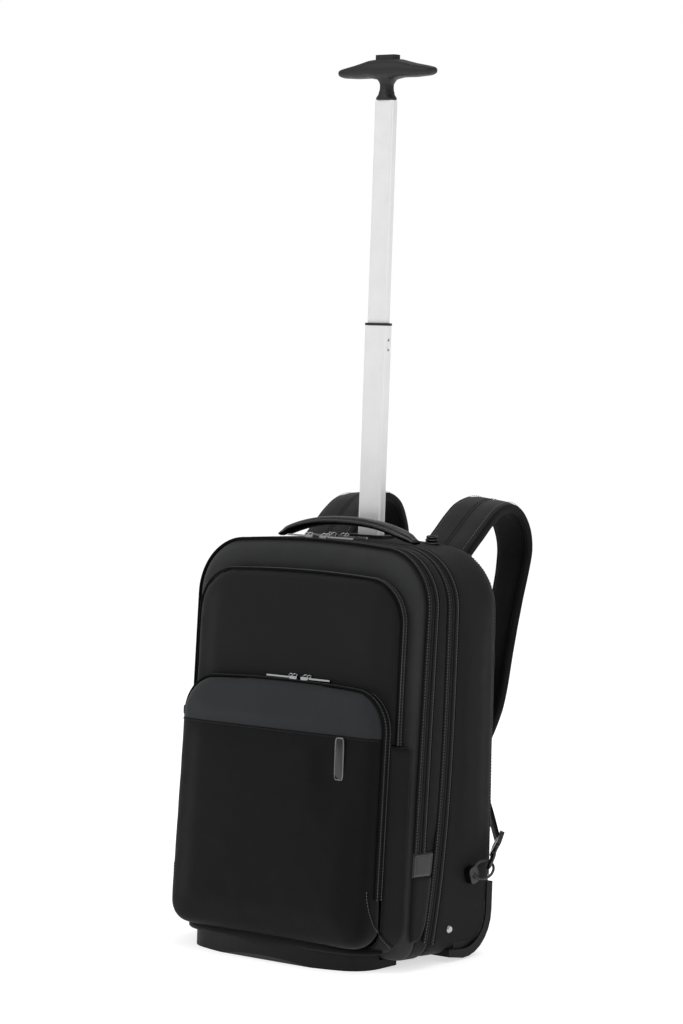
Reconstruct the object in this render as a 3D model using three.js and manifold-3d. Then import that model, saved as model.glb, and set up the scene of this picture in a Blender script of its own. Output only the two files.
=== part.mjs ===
import * as THREE from 'three';
import { mergeVertices } from 'three/addons/utils/BufferGeometryUtils.js';
import Module from 'manifold-3d';

// A wheeled laptop backpack with a two-stage pull handle, standing on its wheels and front foot.
// Millimetres, +Z up, front towards -Y. Depths are measured from the pole-side datum and are
// negative towards the front; the finished group is moved so that its box is centred on the origin.

const wasm = await Module();
wasm.setup();

// The bag stands leaning back, in degrees from upright
const leanBack = 3;

// Driving sizes of the main body
const bodyHalfWidth = 165;
const bodyTop = 453;
const bodyBottom = 4;
const bodyTopCorner = 64;
const bodyBottomCorner = 22;
const bodyCrown = 4;
const cloth = 2.2;
const clearance = 0.3;
const rearEdge = 10;
const frontEdge = 15;

// Depth lines of the bag seen from the side: depth at the top, at the floor, and how late it bends
const backLine = { top: 8, floor: 18, power: 1 };
const rearZipLine = { top: -74, floor: -103, power: 3.85 };
const frontZipLine = { top: -107, floor: -122, power: 1 };
const frontFaceLine = { top: -124, floor: -134, power: 1 };
const upperFaceLine = { top: -134, floor: -152, power: 0.35 };
const lowerFaceLine = { top: -160, floor: -186, power: 1 };

// Zip tapes
const tapeWidth = 19;
const tapeThickness = 1.6;
const rearZipEnd = 24;
const frontZipEnd = 124;

// Pockets on the front
const upperHalfWidth = 146;
const upperTop = 419;
const upperCorner = 48;
const upperEdge = 7;
const gussetTop = 237;
const gussetHalfWidth = 158.5;
const gussetBottom = 12;
const gussetCorner = 30;
const lowerHalfWidth = 144;
const lowerTop = 299;
const lowerBottom = 17;
const lowerCorner = 44;
const lowerBottomCorner = 26;
const lowerEdge = 14;
const lowerBulge = 5;
const bandEdge = 247;
const pocketTapeEnd = 74;

// Name plate
const plateWidth = 13;
const plateHeight = 47;
const plateThickness = 2;
const plateAcross = 97;
const plateTop = 246;

// Front foot, with its sole on the ground
const footHalfWidth = 128;
const footFront = -182;
const footSideFront = -159;
const footBack = -104;
const footToe = 6;
const footCorner = 30;

// Rear corner guards and wheels
const guardRadius = 49;
const guardRear = 13.8;
const guardBottom = 1;
const guardTop = 82;
const guardForward = -60;
const guardRim = 10;
const housingWidth = 35;
const housingInner = bodyHalfWidth - housingWidth;
const housingTop = 61;
const housingForward = -49;
const wheelRadius = 27;
const wheelWidth = 20;
const wheelInset = 20;
const wheelAcross = bodyHalfWidth - wheelInset;
const wheelDepth = -16;
const wheelRoom = 1.6;
const axleRadius = 3;
const boreRoom = 0.4;

// Leather-look end tab and the lower side panel below it
const tabHeight = 27;
const tabThickness = 2;
const panelThickness = 3;

// Grab handle
const handleDepth = -58;
const handleHalfSpan = 96;
const handleThickness = 10;
const handleWidth = 27;
const handleRise = 26;
const handleTop = bodyTop + handleRise;

// Pull handle
const poleDepth = -18;
const outerTube = { wide: 31, deep: 14, corner: 4 };
const innerTube = { wide: 27, deep: 10, corner: 3 };
const tubeWall = 1.2;
const outerRise = 241;
const outerTop = bodyTop + outerRise;
const outerLength = 320;
const innerRise = 253;
const innerTop = outerTop + innerRise;
const innerLength = 307;
const collarHeight = 3;
const channelFoot = 118;
const channelWall = 2;
const slideRoom = 0.6;
const bezelThickness = 5;
const bezelMargin = 12;
const gripHalfLength = 69;
const neckHeight = 25;
const gripUnder = innerTop + neckHeight;
const gripHeight = 22;
const gripTop = gripUnder + gripHeight;
const gripDepth = 27;
const buttonLength = 30;
const buttonDepth = 12;
const buttonStand = 4;
const buttonTop = gripTop + buttonStand;
const buttonSeat = 6;
const buttonTravel = 3;

// Shoulder straps
const strapInset = 78;
const strapAcross = bodyHalfWidth - strapInset;
const strapWidth = 57;
const strapThickness = 13;
const strapReach = { right: 137, left: 117 };
const webWidth = 22;
const webThickness = 2;
const hookWire = 1.8;

const materials = {
  cloth: new THREE.MeshStandardMaterial({ color: 0x1b1c1f, roughness: 0.85, metalness: 0 }),
  coated: new THREE.MeshStandardMaterial({ color: 0x2b2d33, roughness: 0.6, metalness: 0 }),
  tape: new THREE.MeshStandardMaterial({ color: 0x141518, roughness: 0.6, metalness: 0 }),
  leather: new THREE.MeshStandardMaterial({ color: 0x111113, roughness: 0.35, metalness: 0 }),
  plastic: new THREE.MeshStandardMaterial({ color: 0x26272a, roughness: 0.5, metalness: 0 }),
  silver: new THREE.MeshStandardMaterial({ color: 0xd9dadd, roughness: 0.3, metalness: 0.9 }),
  nickel: new THREE.MeshStandardMaterial({ color: 0xb9bbc0, roughness: 0.22, metalness: 1 }),
  dark: new THREE.MeshStandardMaterial({ color: 0x3a3b3f, roughness: 0.3, metalness: 0.9 }),
  rubber: new THREE.MeshStandardMaterial({ color: 0x18181a, roughness: 0.8, metalness: 0 }),
};

const group = new THREE.Group();
const model = new THREE.Group();
group.add(model);

function addPiece(name, geometry, material) {
  const mesh = new THREE.Mesh(geometry, material);
  mesh.name = name;
  model.add(mesh);
  return mesh;
}

const leanAngle = THREE.MathUtils.degToRad(leanBack);
const mix = (a, b, share) => a + (b - a) * share;
const depthAt = (line, z) => mix(line.top, line.floor, Math.max(0, 1 - z / bodyTop) ** line.power);

// Turns a closed surface so that its faces point outwards
function outward(geometry) {
  const p = geometry.attributes.position;
  const index = geometry.index.array;
  const [a, b, c] = [new THREE.Vector3(), new THREE.Vector3(), new THREE.Vector3()];
  let volume = 0;
  for (let i = 0; i < index.length; i += 3) {
    a.fromBufferAttribute(p, index[i]);
    b.fromBufferAttribute(p, index[i + 1]);
    c.fromBufferAttribute(p, index[i + 2]);
    volume += a.dot(b.cross(c));
  }
  if (volume < 0) {
    for (let i = 0; i < index.length; i += 3) {
      [index[i + 1], index[i + 2]] = [index[i + 2], index[i + 1]];
    }
  }
  geometry.computeVertexNormals();
  return geometry;
}

// Closed surface through rings of equal count: its ends are fans to their middles, or it runs round
function loft(rings, runsRound = false) {
  const count = rings[0].length;
  const points = rings.flat();
  const faces = [];
  const strips = runsRound ? rings.length : rings.length - 1;
  for (let r = 0; r < strips; r++) {
    const here = r * count;
    const next = ((r + 1) % rings.length) * count;
    for (let i = 0; i < count; i++) {
      const j = (i + 1) % count;
      faces.push(here + i, here + j, next + j, here + i, next + j, next + i);
    }
  }
  if (!runsRound) {
    for (const [first, turned] of [[0, true], [(rings.length - 1) * count, false]]) {
      const middle = new THREE.Vector3();
      for (let i = 0; i < count; i++) middle.addScaledVector(points[first + i], 1 / count);
      points.push(middle);
      for (let i = 0; i < count; i++) {
        const j = (i + 1) % count;
        const [a, b] = turned ? [j, i] : [i, j];
        faces.push(first + a, first + b, points.length - 1);
      }
    }
  }
  const geometry = new THREE.BufferGeometry().setFromPoints(points);
  geometry.setIndex(faces);
  return outward(geometry);
}

function mirrored(geometry) {
  const copy = geometry.clone().scale(-1, 1, 1);
  return copy.index ? outward(copy) : solidToGeometry(toSolid(copy));
}

function toSolid(geometry) {
  const bare = geometry.clone();
  bare.deleteAttribute('normal');
  bare.deleteAttribute('uv');
  const merged = outward(mergeVertices(bare, 1e-4));
  return new wasm.Manifold(new wasm.Mesh({
    numProp: 3,
    vertProperties: merged.attributes.position.array,
    triVerts: new Uint32Array(merged.index.array),
  }));
}

function solidToGeometry(solid) {
  const mesh = solid.getMesh();
  const geometry = new THREE.BufferGeometry();
  geometry.setAttribute('position', new THREE.BufferAttribute(mesh.vertProperties.slice(), mesh.numProp));
  geometry.setIndex(new THREE.BufferAttribute(mesh.triVerts.slice(), 1));
  geometry.computeVertexNormals();
  return geometry;
}

const cut = (body, ...tools) => solidToGeometry(tools.reduce((s, t) => s.subtract(toSolid(t)), toSolid(body)));
const join = (...bodies) => solidToGeometry(bodies.slice(1).reduce((s, t) => s.add(toSolid(t)), toSolid(bodies[0])));
const common = (a, b) => solidToGeometry(toSolid(a).intersect(toSolid(b)));

function block(x0, x1, y0, y1, z0, z1) {
  const geometry = new THREE.BoxGeometry(x1 - x0, y1 - y0, z1 - z0);
  return geometry.translate((x0 + x1) / 2, (y0 + y1) / 2, (z0 + z1) / 2);
}

// Points of an arc in a plane, from one angle to another in degrees
function arcPoints(cx, cy, radius, from, to, steps) {
  return Array.from({ length: steps + 1 }, (_, i) => {
    const angle = THREE.MathUtils.degToRad(mix(from, to, i / steps));
    return [cx + radius * Math.cos(angle), cy + radius * Math.sin(angle)];
  });
}

// Front outlines: half width, top, bottom, corner radii and crown of the top edge
const bodyOutline = {
  half: bodyHalfWidth, top: bodyTop, bottom: bodyBottom,
  topCorner: bodyTopCorner, bottomCorner: bodyBottomCorner, crown: bodyCrown,
};
const upperOutline = {
  half: upperHalfWidth, top: upperTop, bottom: gussetTop + clearance,
  topCorner: upperCorner, bottomCorner: 4, crown: 3,
};
const gussetOutline = {
  half: gussetHalfWidth, top: gussetTop, bottom: gussetBottom,
  topCorner: 4, bottomCorner: gussetCorner, crown: 0,
};
const lowerOutline = {
  half: lowerHalfWidth, top: lowerTop, bottom: lowerBottom,
  topCorner: lowerCorner, bottomCorner: lowerBottomCorner, crown: 3,
};

const cornerSteps = 5;
const bottomSteps = 3;
const sideSteps = 3;
const topSteps = 4;

// The upper part of an outline as [x, z], from the right foot over the top to the left foot
function archPoints(o, inset, foot) {
  const half = o.half - inset;
  const corner = Math.max(o.topCorner - inset, 1);
  const reach = half - corner;
  const shoulder = o.top - inset - o.crown - corner;
  const right = [];
  for (let i = 0; i < sideSteps; i++) right.push([half, mix(foot, shoulder, (i / sideSteps) ** 1.5)]);
  right.push(...arcPoints(reach, shoulder, corner, 0, 90, cornerSteps));
  const top = [];
  for (let i = 1; i < topSteps; i++) {
    const x = mix(reach, -reach, i / topSteps);
    top.push([x, o.top - inset - o.crown * (x / reach) ** 2]);
  }
  const left = right.map(([x, z]) => [-x, z]).reverse();
  return [...right, ...top, ...left];
}

// The whole outline: the arch above, and below it the rounded bottom corners
function loopPoints(o, inset) {
  const corner = Math.max(o.bottomCorner - inset, 1);
  const foot = o.bottom + inset + corner;
  const reach = o.half - inset - corner;
  const left = arcPoints(-reach, foot, corner, 180, 270, bottomSteps).slice(1);
  const right = arcPoints(reach, foot, corner, 270, 360, bottomSteps).slice(0, -1);
  return [...archPoints(o, inset, foot), ...left, [0, o.bottom + inset], ...right];
}

// One ring of a shell: the outline inset and drawn in towards its middle, at a share of the depth
// between the line of its rim and the line of its face
function shellRing(o, from, to, { share, inset, scale = 1, bulge = 0 }, facing, wall) {
  const middle = (o.top + o.bottom) / 2;
  return loopPoints(o, inset + wall).map(([x, z]) => {
    const height = mix(middle, z, scale);
    const face = depthAt(to, height) + facing * (bulge - wall);
    return new THREE.Vector3(x * scale, mix(depthAt(from, height), face, share), height);
  });
}

// Rings from a rim over a rounded edge to the middle of a face
function edgeRings(edge, straight, bulge, steps, scales) {
  const rings = [{ share: 0, inset: 0 }, { share: straight, inset: 0 }];
  for (let i = 1; i <= steps; i++) {
    const angle = (i / steps) * Math.PI / 2;
    rings.push({
      share: straight + (1 - straight) * Math.sin(angle),
      inset: edge * (1 - Math.cos(angle)),
    });
  }
  for (const scale of scales) {
    rings.push({ share: 1, inset: edge, scale, bulge: bulge * (1 - scale ** 2) });
  }
  return rings;
}

// A hollow shell of cloth, open at its rim: outer face, rim, inner face
function shell(o, from, to, { edge, straight, bulge = 0, facing }) {
  const outer = edgeRings(edge, straight, bulge, 3, [0.72, 0.36]);
  const inner = edgeRings(edge, straight, bulge, 2, [0.5]);
  return loft([
    ...outer.reverse().map((r) => shellRing(o, from, to, r, facing, 0)),
    ...inner.map((r) => shellRing(o, from, to, r, facing, cloth)),
  ]);
}

// A line moved by a fixed depth
const moved = (line, by) => ({ ...line, top: line.top + by, floor: line.floor + by });

// Main body: rear shell, middle band between the two zips, front shell
const gapLine = clearance / 2;
const rearShape = { edge: rearEdge, straight: 0.88, bulge: 3, facing: 1 };
let rearShell = shell(bodyOutline, moved(rearZipLine, gapLine), backLine, rearShape);
const frontShell = shell(bodyOutline, moved(frontZipLine, -gapLine), frontFaceLine,
  { edge: frontEdge, straight: 0.12, facing: -1 });

// A ring of cloth open at both ends
function band(o, inset, from, to, endOutline = o) {
  const ring = (outline, line, wall) =>
    loopPoints(outline, inset + wall).map(([x, z]) => new THREE.Vector3(x, depthAt(line, z), z));
  return loft([
    ring(o, from, 0), ring(endOutline, to, 0), ring(endOutline, to, cloth), ring(o, from, cloth),
  ], true);
}
const middleBand = band(bodyOutline, 0, moved(frontZipLine, gapLine), moved(rearZipLine, -gapLine));

// Pockets
const upperPocket = shell(upperOutline, moved(frontFaceLine, -clearance), upperFaceLine,
  { edge: upperEdge, straight: 0.6, facing: -1 });
const gussetFront = {
  ...gussetOutline, half: lowerHalfWidth + 1, bottom: lowerBottom - 2, bottomCorner: lowerBottomCorner,
};
const gusset = band(gussetOutline, 0, moved(frontFaceLine, -clearance), upperFaceLine, gussetFront);
const lowerRim = moved(upperFaceLine, -clearance);
const lowerShape = { edge: lowerEdge, straight: 0.55, bulge: lowerBulge, facing: -1 };
const wholeLower = shell(lowerOutline, lowerRim, lowerFaceLine, lowerShape);
const wide = bodyHalfWidth * 2;
const lowerPocket = common(wholeLower, block(-wide, wide, -wide * 2, wide, -wide, bandEdge - gapLine));
const coatedBand = common(wholeLower, block(-wide, wide, -wide * 2, wide, bandEdge + gapLine, bodyTop));

// A tape laid on a shell along the arch of its outline, from one foot to the other
function tape(o, line, foot, width, outset = clearance, thickness = tapeThickness) {
  const inner = archPoints(o, -outset, foot);
  const outer = archPoints(o, -outset - thickness, foot);
  return loft(inner.map(([x, z], i) => {
    const [outX, outZ] = outer[i];
    const depth = depthAt(line, z);
    return [
      new THREE.Vector3(x, depth - width / 2, z),
      new THREE.Vector3(outX, depth - width / 2, outZ),
      new THREE.Vector3(outX, depth + width / 2, outZ),
      new THREE.Vector3(x, depth + width / 2, z),
    ];
  }));
}
const upperTapeLine = { top: -130, floor: -141, power: 0.6 };
const upperTapeWidth = 7;
const lowerTapeLine = { top: -148, floor: -162, power: 1 };
const lowerTapeWidth = 11;

addPiece('middle_band', middleBand, materials.cloth);
addPiece('front_shell', frontShell, materials.cloth);
addPiece('upper_pocket', upperPocket, materials.cloth);
addPiece('pocket_gusset', gusset, materials.cloth);
addPiece('lower_pocket', lowerPocket, materials.cloth);
addPiece('coated_band', coatedBand, materials.coated);
addPiece('zip_rear', tape(bodyOutline, rearZipLine, rearZipEnd, tapeWidth), materials.tape);
addPiece('zip_front', tape(bodyOutline, frontZipLine, frontZipEnd, tapeWidth), materials.tape);
addPiece('zip_upper', tape(upperOutline, upperTapeLine, gussetTop + 3, upperTapeWidth), materials.tape);
addPiece('zip_lower', tape(lowerOutline, lowerTapeLine, pocketTapeEnd, lowerTapeWidth), materials.tape);

// An upright pad on the side of the bag between two depth lines
function sidePad(front, rear, thickness, bottom, top, steps, rounding) {
  const face = bodyHalfWidth + clearance;
  const rings = [];
  for (let i = 0; i <= steps; i++) {
    const z = mix(bottom, top, i / steps);
    const low = Math.max(0, 1 - (z - bottom) / rounding);
    const tuck = rounding * (1 - Math.sqrt(1 - low ** 2)) * 0.6;
    const [a, b] = [depthAt(front, z) + tuck * 0.3, depthAt(rear, z) - tuck];
    rings.push([
      new THREE.Vector3(face, a, z), new THREE.Vector3(face + thickness, a + 1, z),
      new THREE.Vector3(face + thickness, b - 1, z), new THREE.Vector3(face, b, z),
    ]);
  }
  return loft(rings);
}
const padMargin = 1.5;
const padFront = moved(frontZipLine, -tapeWidth / 2 - padMargin);
const padRear = moved(rearZipLine, -tapeWidth / 2 - padMargin);
const tabTop = frontZipEnd - clearance;
const tabBottom = tabTop - tabHeight;
const endTab = sidePad(padFront, padRear, tabThickness, tabBottom, tabTop, 2, 1);
const sidePanelFoot = bodyBottom + bodyBottomCorner;
const sidePanel = sidePad(padFront, padRear, panelThickness, sidePanelFoot, tabBottom - clearance, 6, 24);

// Rear corner guard: a rim along the corner of the side, and behind it the housing of the wheel
const guardCentre = { y: guardRear - guardRadius, z: guardBottom + guardRadius };
const polygon = (points) => new THREE.Shape(points.map(([y, z]) => new THREE.Vector2(y, z)));
// Extrudes a profile drawn in depth and height from one distance across to another
function across(shape, x0, x1) {
  const geometry = new THREE.ExtrudeGeometry(shape, { depth: x1 - x0, bevelEnabled: false });
  geometry.applyMatrix4(new THREE.Matrix4().set(0, 0, 1, x0, 1, 0, 0, 0, 0, 1, 0, 0, 0, 0, 0, 1));
  return geometry;
}
const guardSteps = 7;
const guardArc = (radius, from, to) =>
  arcPoints(guardCentre.y, guardCentre.z, radius, from, to, guardSteps);
const guardRise = 3;
const rimProfile = polygon([
  [guardRear, guardTop], [guardRear - guardRim, guardTop],
  ...guardArc(guardRadius - guardRim, 360, 270),
  [guardForward, guardBottom + guardRim + 1], [guardForward, guardBottom + guardRise],
  ...guardArc(guardRadius, 270, 360),
]);
const housingProfile = polygon([
  [guardRear, guardTop], [guardRear - guardRim, guardTop], [guardRear - guardRim, housingTop],
  [housingForward, housingTop], [housingForward, guardBottom + guardRim + 2],
  [guardForward, guardBottom + guardRim + 1], [guardForward, guardBottom + guardRise],
  ...guardArc(guardRadius, 270, 360),
]);
const beyond = 30;
const openingProfile = polygon([
  [guardRear + beyond, guardTop + clearance], [guardRear - guardRim - clearance, guardTop + clearance],
  ...guardArc(guardRadius - guardRim - clearance, 360, 270),
  [guardForward - clearance, guardBottom + guardRim + 1 + clearance],
  [guardForward - clearance, -beyond], [guardRear + beyond, -beyond],
]);
const housingOuter = bodyHalfWidth - cloth - clearance;
const wheelCentre = { y: wheelDepth, z: wheelRadius };
// A cylinder or a turned shape whose axis runs across the bag
function turned(geometry, x, y, z) {
  return geometry.rotateZ(-Math.PI / 2).translate(x, y, z);
}
const disc = (radius, width, x, sides) =>
  turned(new THREE.CylinderGeometry(radius, radius, width, sides), x, wheelCentre.y, wheelCentre.z);
const boreSides = 12;
const wheelSides = 20;
const guard = cut(
  join(across(housingProfile, housingInner, housingOuter), across(rimProfile, housingOuter - 2, bodyHalfWidth + 1)),
  disc(wheelRadius + wheelRoom, wheelWidth + 2 * wheelRoom, wheelAcross, wheelSides),
  disc(axleRadius + clearance, bodyHalfWidth, wheelAcross, boreSides),
);
const guardCut = across(openingProfile, housingInner - clearance, bodyHalfWidth + beyond);
const housingCut = across(polygon([
  [guardRear + 1, guardTop], [housingForward - clearance, guardTop],
  [housingForward - clearance, guardBottom + guardRim + 2 + 2 * clearance],
  [guardForward - clearance, guardBottom + guardRim + 1 + 2 * clearance],
  [guardForward - clearance, -beyond], [guardRear + 1, -beyond],
]), housingInner - clearance, housingOuter);
const wheelProfile = [
  [axleRadius + boreRoom, -0.5], [wheelRadius * 0.3, -0.5], [wheelRadius * 0.34, -0.36],
  [wheelRadius * 0.74, -0.36], [wheelRadius * 0.78, -0.5], [wheelRadius * 0.94, -0.5],
  [wheelRadius, -0.3], [wheelRadius, 0.3], [wheelRadius * 0.94, 0.5],
  [axleRadius + boreRoom, 0.5], [axleRadius + boreRoom, -0.5],
].map(([radius, share]) => new THREE.Vector2(radius, share * wheelWidth));
const wheel = turned(new THREE.LatheGeometry(wheelProfile, wheelSides), wheelAcross, wheelCentre.y, wheelCentre.z);
const axleLength = housingOuter - housingInner - 2 * clearance;
const axle = disc(axleRadius, axleLength, (housingOuter + housingInner) / 2, boreSides);

// Side rivet
const rivetRadius = 4.5;
const rivetThickness = 1.5;
const rivet = turned(
  new THREE.CylinderGeometry(rivetRadius * 0.7, rivetRadius, rivetThickness, 16),
  bodyHalfWidth + clearance + rivetThickness / 2, guardForward, 35,
);

// Pull handle: rounded tubes that stand upright
function roundedShape(width, depth, corner, hole = null) {
  const shape = new THREE.Shape();
  const trace = (path, w, d, r) => {
    path.absarc(w / 2 - r, d / 2 - r, r, 0, Math.PI / 2);
    path.absarc(-w / 2 + r, d / 2 - r, r, Math.PI / 2, Math.PI);
    path.absarc(-w / 2 + r, -d / 2 + r, r, Math.PI, Math.PI * 1.5);
    path.absarc(w / 2 - r, -d / 2 + r, r, Math.PI * 1.5, Math.PI * 2);
  };
  trace(shape, width, depth, corner);
  if (hole) {
    const path = new THREE.Path();
    trace(path, hole.width, hole.depth, hole.corner);
    shape.holes.push(path);
  }
  return shape;
}
function upright(shape, foot, top) {
  const geometry = new THREE.ExtrudeGeometry(shape, { depth: top - foot, bevelEnabled: false, curveSegments: 2 });
  return geometry.translate(0, poleDepth, foot);
}
const holeOf = (width, depth, corner) => ({ width, depth, corner });
const { wide: outW, deep: outD, corner: outR } = outerTube;
const { wide: inW, deep: inD, corner: inR } = innerTube;
const lockHoleRadius = 1.8;
const lockHoles = [16, 27].map((below) => turned(
  new THREE.CylinderGeometry(lockHoleRadius, lockHoleRadius, tubeWall * 4, 12),
  outW / 2, poleDepth, outerTop - below,
));
const poleLower = cut(
  upright(roundedShape(outW, outD, outR, holeOf(outW - 2 * tubeWall, outD - 2 * tubeWall, outR - tubeWall)),
    outerTop - outerLength, outerTop),
  ...lockHoles,
);
const poleUpper = upright(
  roundedShape(inW, inD, inR, holeOf(inW - 2 * tubeWall, inD - 2 * tubeWall, inR - tubeWall)),
  innerTop - innerLength, innerTop,
);
const collar = upright(
  roundedShape(outW + 1, outD + 1, outR + 0.5, holeOf(inW + 2 * clearance, inD + 2 * clearance, inR + clearance)),
  outerTop + clearance, outerTop + collarHeight,
);
const channelBore = holeOf(outW + 2 * slideRoom, outD + 2 * slideRoom, outR + slideRoom);
const channelWide = channelBore.width + 2 * channelWall;
const channelDeep = channelBore.depth + 2 * channelWall;
const channel = upright(
  roundedShape(channelWide, channelDeep, outR + channelWall, channelBore), channelFoot, bodyTop,
);
const shellOpening = upright(
  roundedShape(channelWide + 2 * clearance, channelDeep + 2 * clearance, outR + channelWall),
  bodyTop - 3 * cloth - bodyCrown, bodyTop + beyond,
);
const bezelWide = channelWide + 2 * bezelMargin;
const bezelDeep = channelDeep + bezelMargin;
const bezelFoot = bodyTop + clearance;
const bezel = upright(roundedShape(bezelWide, bezelDeep, bezelMargin, channelBore), bezelFoot, bezelFoot + bezelThickness);

rearShell = cut(rearShell, guardCut, mirrored(guardCut), housingCut, mirrored(housingCut), shellOpening);
addPiece('rear_shell', rearShell, materials.cloth);

// Smooth closed ring in a plane, as offsets [a, b]: a rounded rectangle for large powers
function softRing(halfA, halfB, power, count) {
  return Array.from({ length: count }, (_, i) => {
    const angle = (i / count) * Math.PI * 2;
    const [c, s] = [Math.cos(angle), Math.sin(angle)];
    return [halfA * Math.sign(c) * Math.abs(c) ** (2 / power), halfB * Math.sign(s) * Math.abs(s) ** (2 / power)];
  });
}

// T-shaped grip: a bar across and a neck below it
const barTable = [
  { out: 1, top: 0.42, under: 0.24, deep: 0.3 },
  { out: 0.98, top: 0.5, under: 0.14, deep: 0.45 },
  { out: 0.9, top: 0.56, under: 0.06, deep: 0.6 },
  { out: 0.62, top: 0.72, under: 0, deep: 0.82 },
  { out: 0.32, top: 0.94, under: 0, deep: 0.96 },
  { out: 0.14, top: 1, under: -0.1, deep: 1 },
];
const barRing = (out, { top, under, deep }) => {
  const middle = gripUnder + gripHeight * (top + under) / 2;
  return softRing(gripDepth / 2 * deep, gripHeight * (top - under) / 2, 2.6, 12).map(
    ([y, z]) => new THREE.Vector3(out * gripHalfLength, poleDepth + y, middle + z),
  );
};
const bar = loft([
  ...barTable.map((row) => barRing(row.out, row)),
  ...[...barTable].reverse().map((row) => barRing(-row.out, row)),
]);
const neckFoot = innerTop + clearance;
const neckTable = [
  { up: 0, wide: 1, deep: 1 },
  { up: 0.1, wide: 1, deep: 1 },
  { up: 0.28, wide: 0.66, deep: 0.9 },
  { up: 0.34, wide: 0.72, deep: 0.96 },
  { up: 0.42, wide: 0.6, deep: 0.86 },
  { up: 0.72, wide: 0.58, deep: 0.84 },
  { up: 1.1, wide: 1.1, deep: 1.2 },
];
const neckWidth = 25;
const neckDepth = 17;
const neck = loft(neckTable.map(({ up, wide: w, deep }) =>
  softRing(neckWidth / 2 * w, neckDepth / 2 * deep, 3, 12).map(
    ([x, y]) => new THREE.Vector3(x, poleDepth + y, mix(neckFoot, gripUnder, up)),
  )));
const seatFoot = gripTop - buttonSeat;
const buttonShape = (grow) => roundedShape(
  buttonLength + 2 * grow, buttonDepth + 2 * grow, buttonDepth / 3 + grow,
);
const grip = cut(join(bar, neck), upright(buttonShape(clearance), seatFoot, buttonTop + beyond));
const buttonFoot = seatFoot + buttonTravel + clearance;
const button = upright(buttonShape(0), buttonFoot, buttonTop);

addPiece('pole_lower', poleLower, materials.silver);
addPiece('pole_collar', collar, materials.plastic);
addPiece('pole_upper', poleUpper, materials.silver);
addPiece('t_grip', grip, materials.plastic);
addPiece('release_button', button, materials.plastic);
addPiece('pole_channel', channel, materials.plastic);
addPiece('top_bezel', bezel, materials.plastic);

// Height of the top of the main body at a distance across
function surfaceTop(x) {
  const reach = bodyHalfWidth - bodyTopCorner;
  const shoulder = bodyTop - bodyCrown - bodyTopCorner;
  const away = Math.abs(x) - reach;
  if (away <= 0) return bodyTop - bodyCrown * (x / reach) ** 2;
  return shoulder + Math.sqrt(bodyTopCorner ** 2 - away ** 2);
}

// Grab handle: a padded arch whose ends lie on the top of the bag
const handleSteps = 12;
const handleCrest = handleTop - handleThickness / 2;
const handleEnd = surfaceTop(handleHalfSpan) + 2 * clearance + tapeThickness + handleThickness * 0.43;
const handleRings = [];
for (let i = 0; i <= handleSteps; i++) {
  const share = mix(-1, 1, i / handleSteps);
  const x = share * handleHalfSpan;
  const z = handleCrest - (handleCrest - handleEnd) * Math.abs(share) ** 2.4;
  const slope = -(handleCrest - handleEnd) * 2.4 * Math.abs(share) ** 1.4 * Math.sign(share) / handleHalfSpan;
  const tilt = Math.atan(slope);
  const ring = softRing(handleWidth / 2, handleThickness / 2, 2.4, 10);
  handleRings.push(ring.map(([a, b]) =>
    new THREE.Vector3(x - b * Math.sin(tilt), handleDepth + a, z + b * Math.cos(tilt))));
}
addPiece('grab_handle', loft(handleRings), materials.leather);

// Shoulder strap: a padded band from the top of the bag over an arch down behind it.
// Shares of the distance across, of the rearward reach, of the body's height, of the width and of the
// thickness. The turn is in degrees about the strap's own line, and lowers its outer edge.
const strapTable = [
  { across: 1.01, back: -0.045, up: 0.945, turn: 0, width: 1.22, thick: 1.1 },
  { across: 1.01, back: 0.065, up: 0.98, turn: 0, width: 1.22, thick: 1.1 },
  { across: 1.005, back: 0.225, up: 1.022, turn: 1, width: 1.2, thick: 1.05 },
  { across: 1, back: 0.37, up: 1.06, turn: 3, width: 1.17, thick: 1 },
  { across: 0.99, back: 0.51, up: 1.086, turn: 6, width: 1.1, thick: 1 },
  { across: 0.99, back: 0.67, up: 1.095, turn: 10, width: 1.04, thick: 1 },
  { across: 0.99, back: 0.83, up: 1.077, turn: 14, width: 1, thick: 1 },
  { across: 1, back: 0.94, up: 1.037, turn: 18, width: 1, thick: 1 },
  { across: 1, back: 0.993, up: 0.987, turn: 20, width: 1, thick: 1 },
  { across: 1, back: 0.978, up: 0.938, turn: 20, width: 1, thick: 1 },
  { across: 1, back: 0.912, up: 0.857, turn: 18, width: 1, thick: 1 },
  { across: 1, back: 0.78, up: 0.706, turn: 14, width: 1, thick: 1 },
  { across: 0.99, back: 0.686, up: 0.6, turn: 9, width: 0.96, thick: 1 },
  { across: 0.965, back: 0.585, up: 0.52, turn: 4, width: 0.82, thick: 0.9 },
  { across: 0.94, back: 0.47, up: 0.459, turn: 0, width: 0.6, thick: 0.6 },
];
const strapOver = new THREE.Vector3(1, 0, 0);
// A flat band along a line: rings of its soft section, flat side across the given direction
function flatBand(line, sideAt, sizeAt, steps, sides, power) {
  const rings = [];
  for (let i = 0; i <= steps; i++) {
    const share = i / steps;
    const point = line.getPoint(share);
    const along = line.getTangent(share);
    const side = sideAt(share).projectOnPlane(along).normalize();
    const normal = new THREE.Vector3().crossVectors(along, side);
    const [width, thickness] = sizeAt(share);
    rings.push(softRing(width / 2, thickness / 2, power, sides).map(([a, b]) =>
      point.clone().addScaledVector(side, a).addScaledVector(normal, b)));
  }
  return loft(rings);
}
function tableAt(table, key, share) {
  const place = share * (table.length - 1);
  const low = Math.min(Math.floor(place), table.length - 2);
  return mix(table[low][key], table[low + 1][key], place - low);
}
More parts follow.
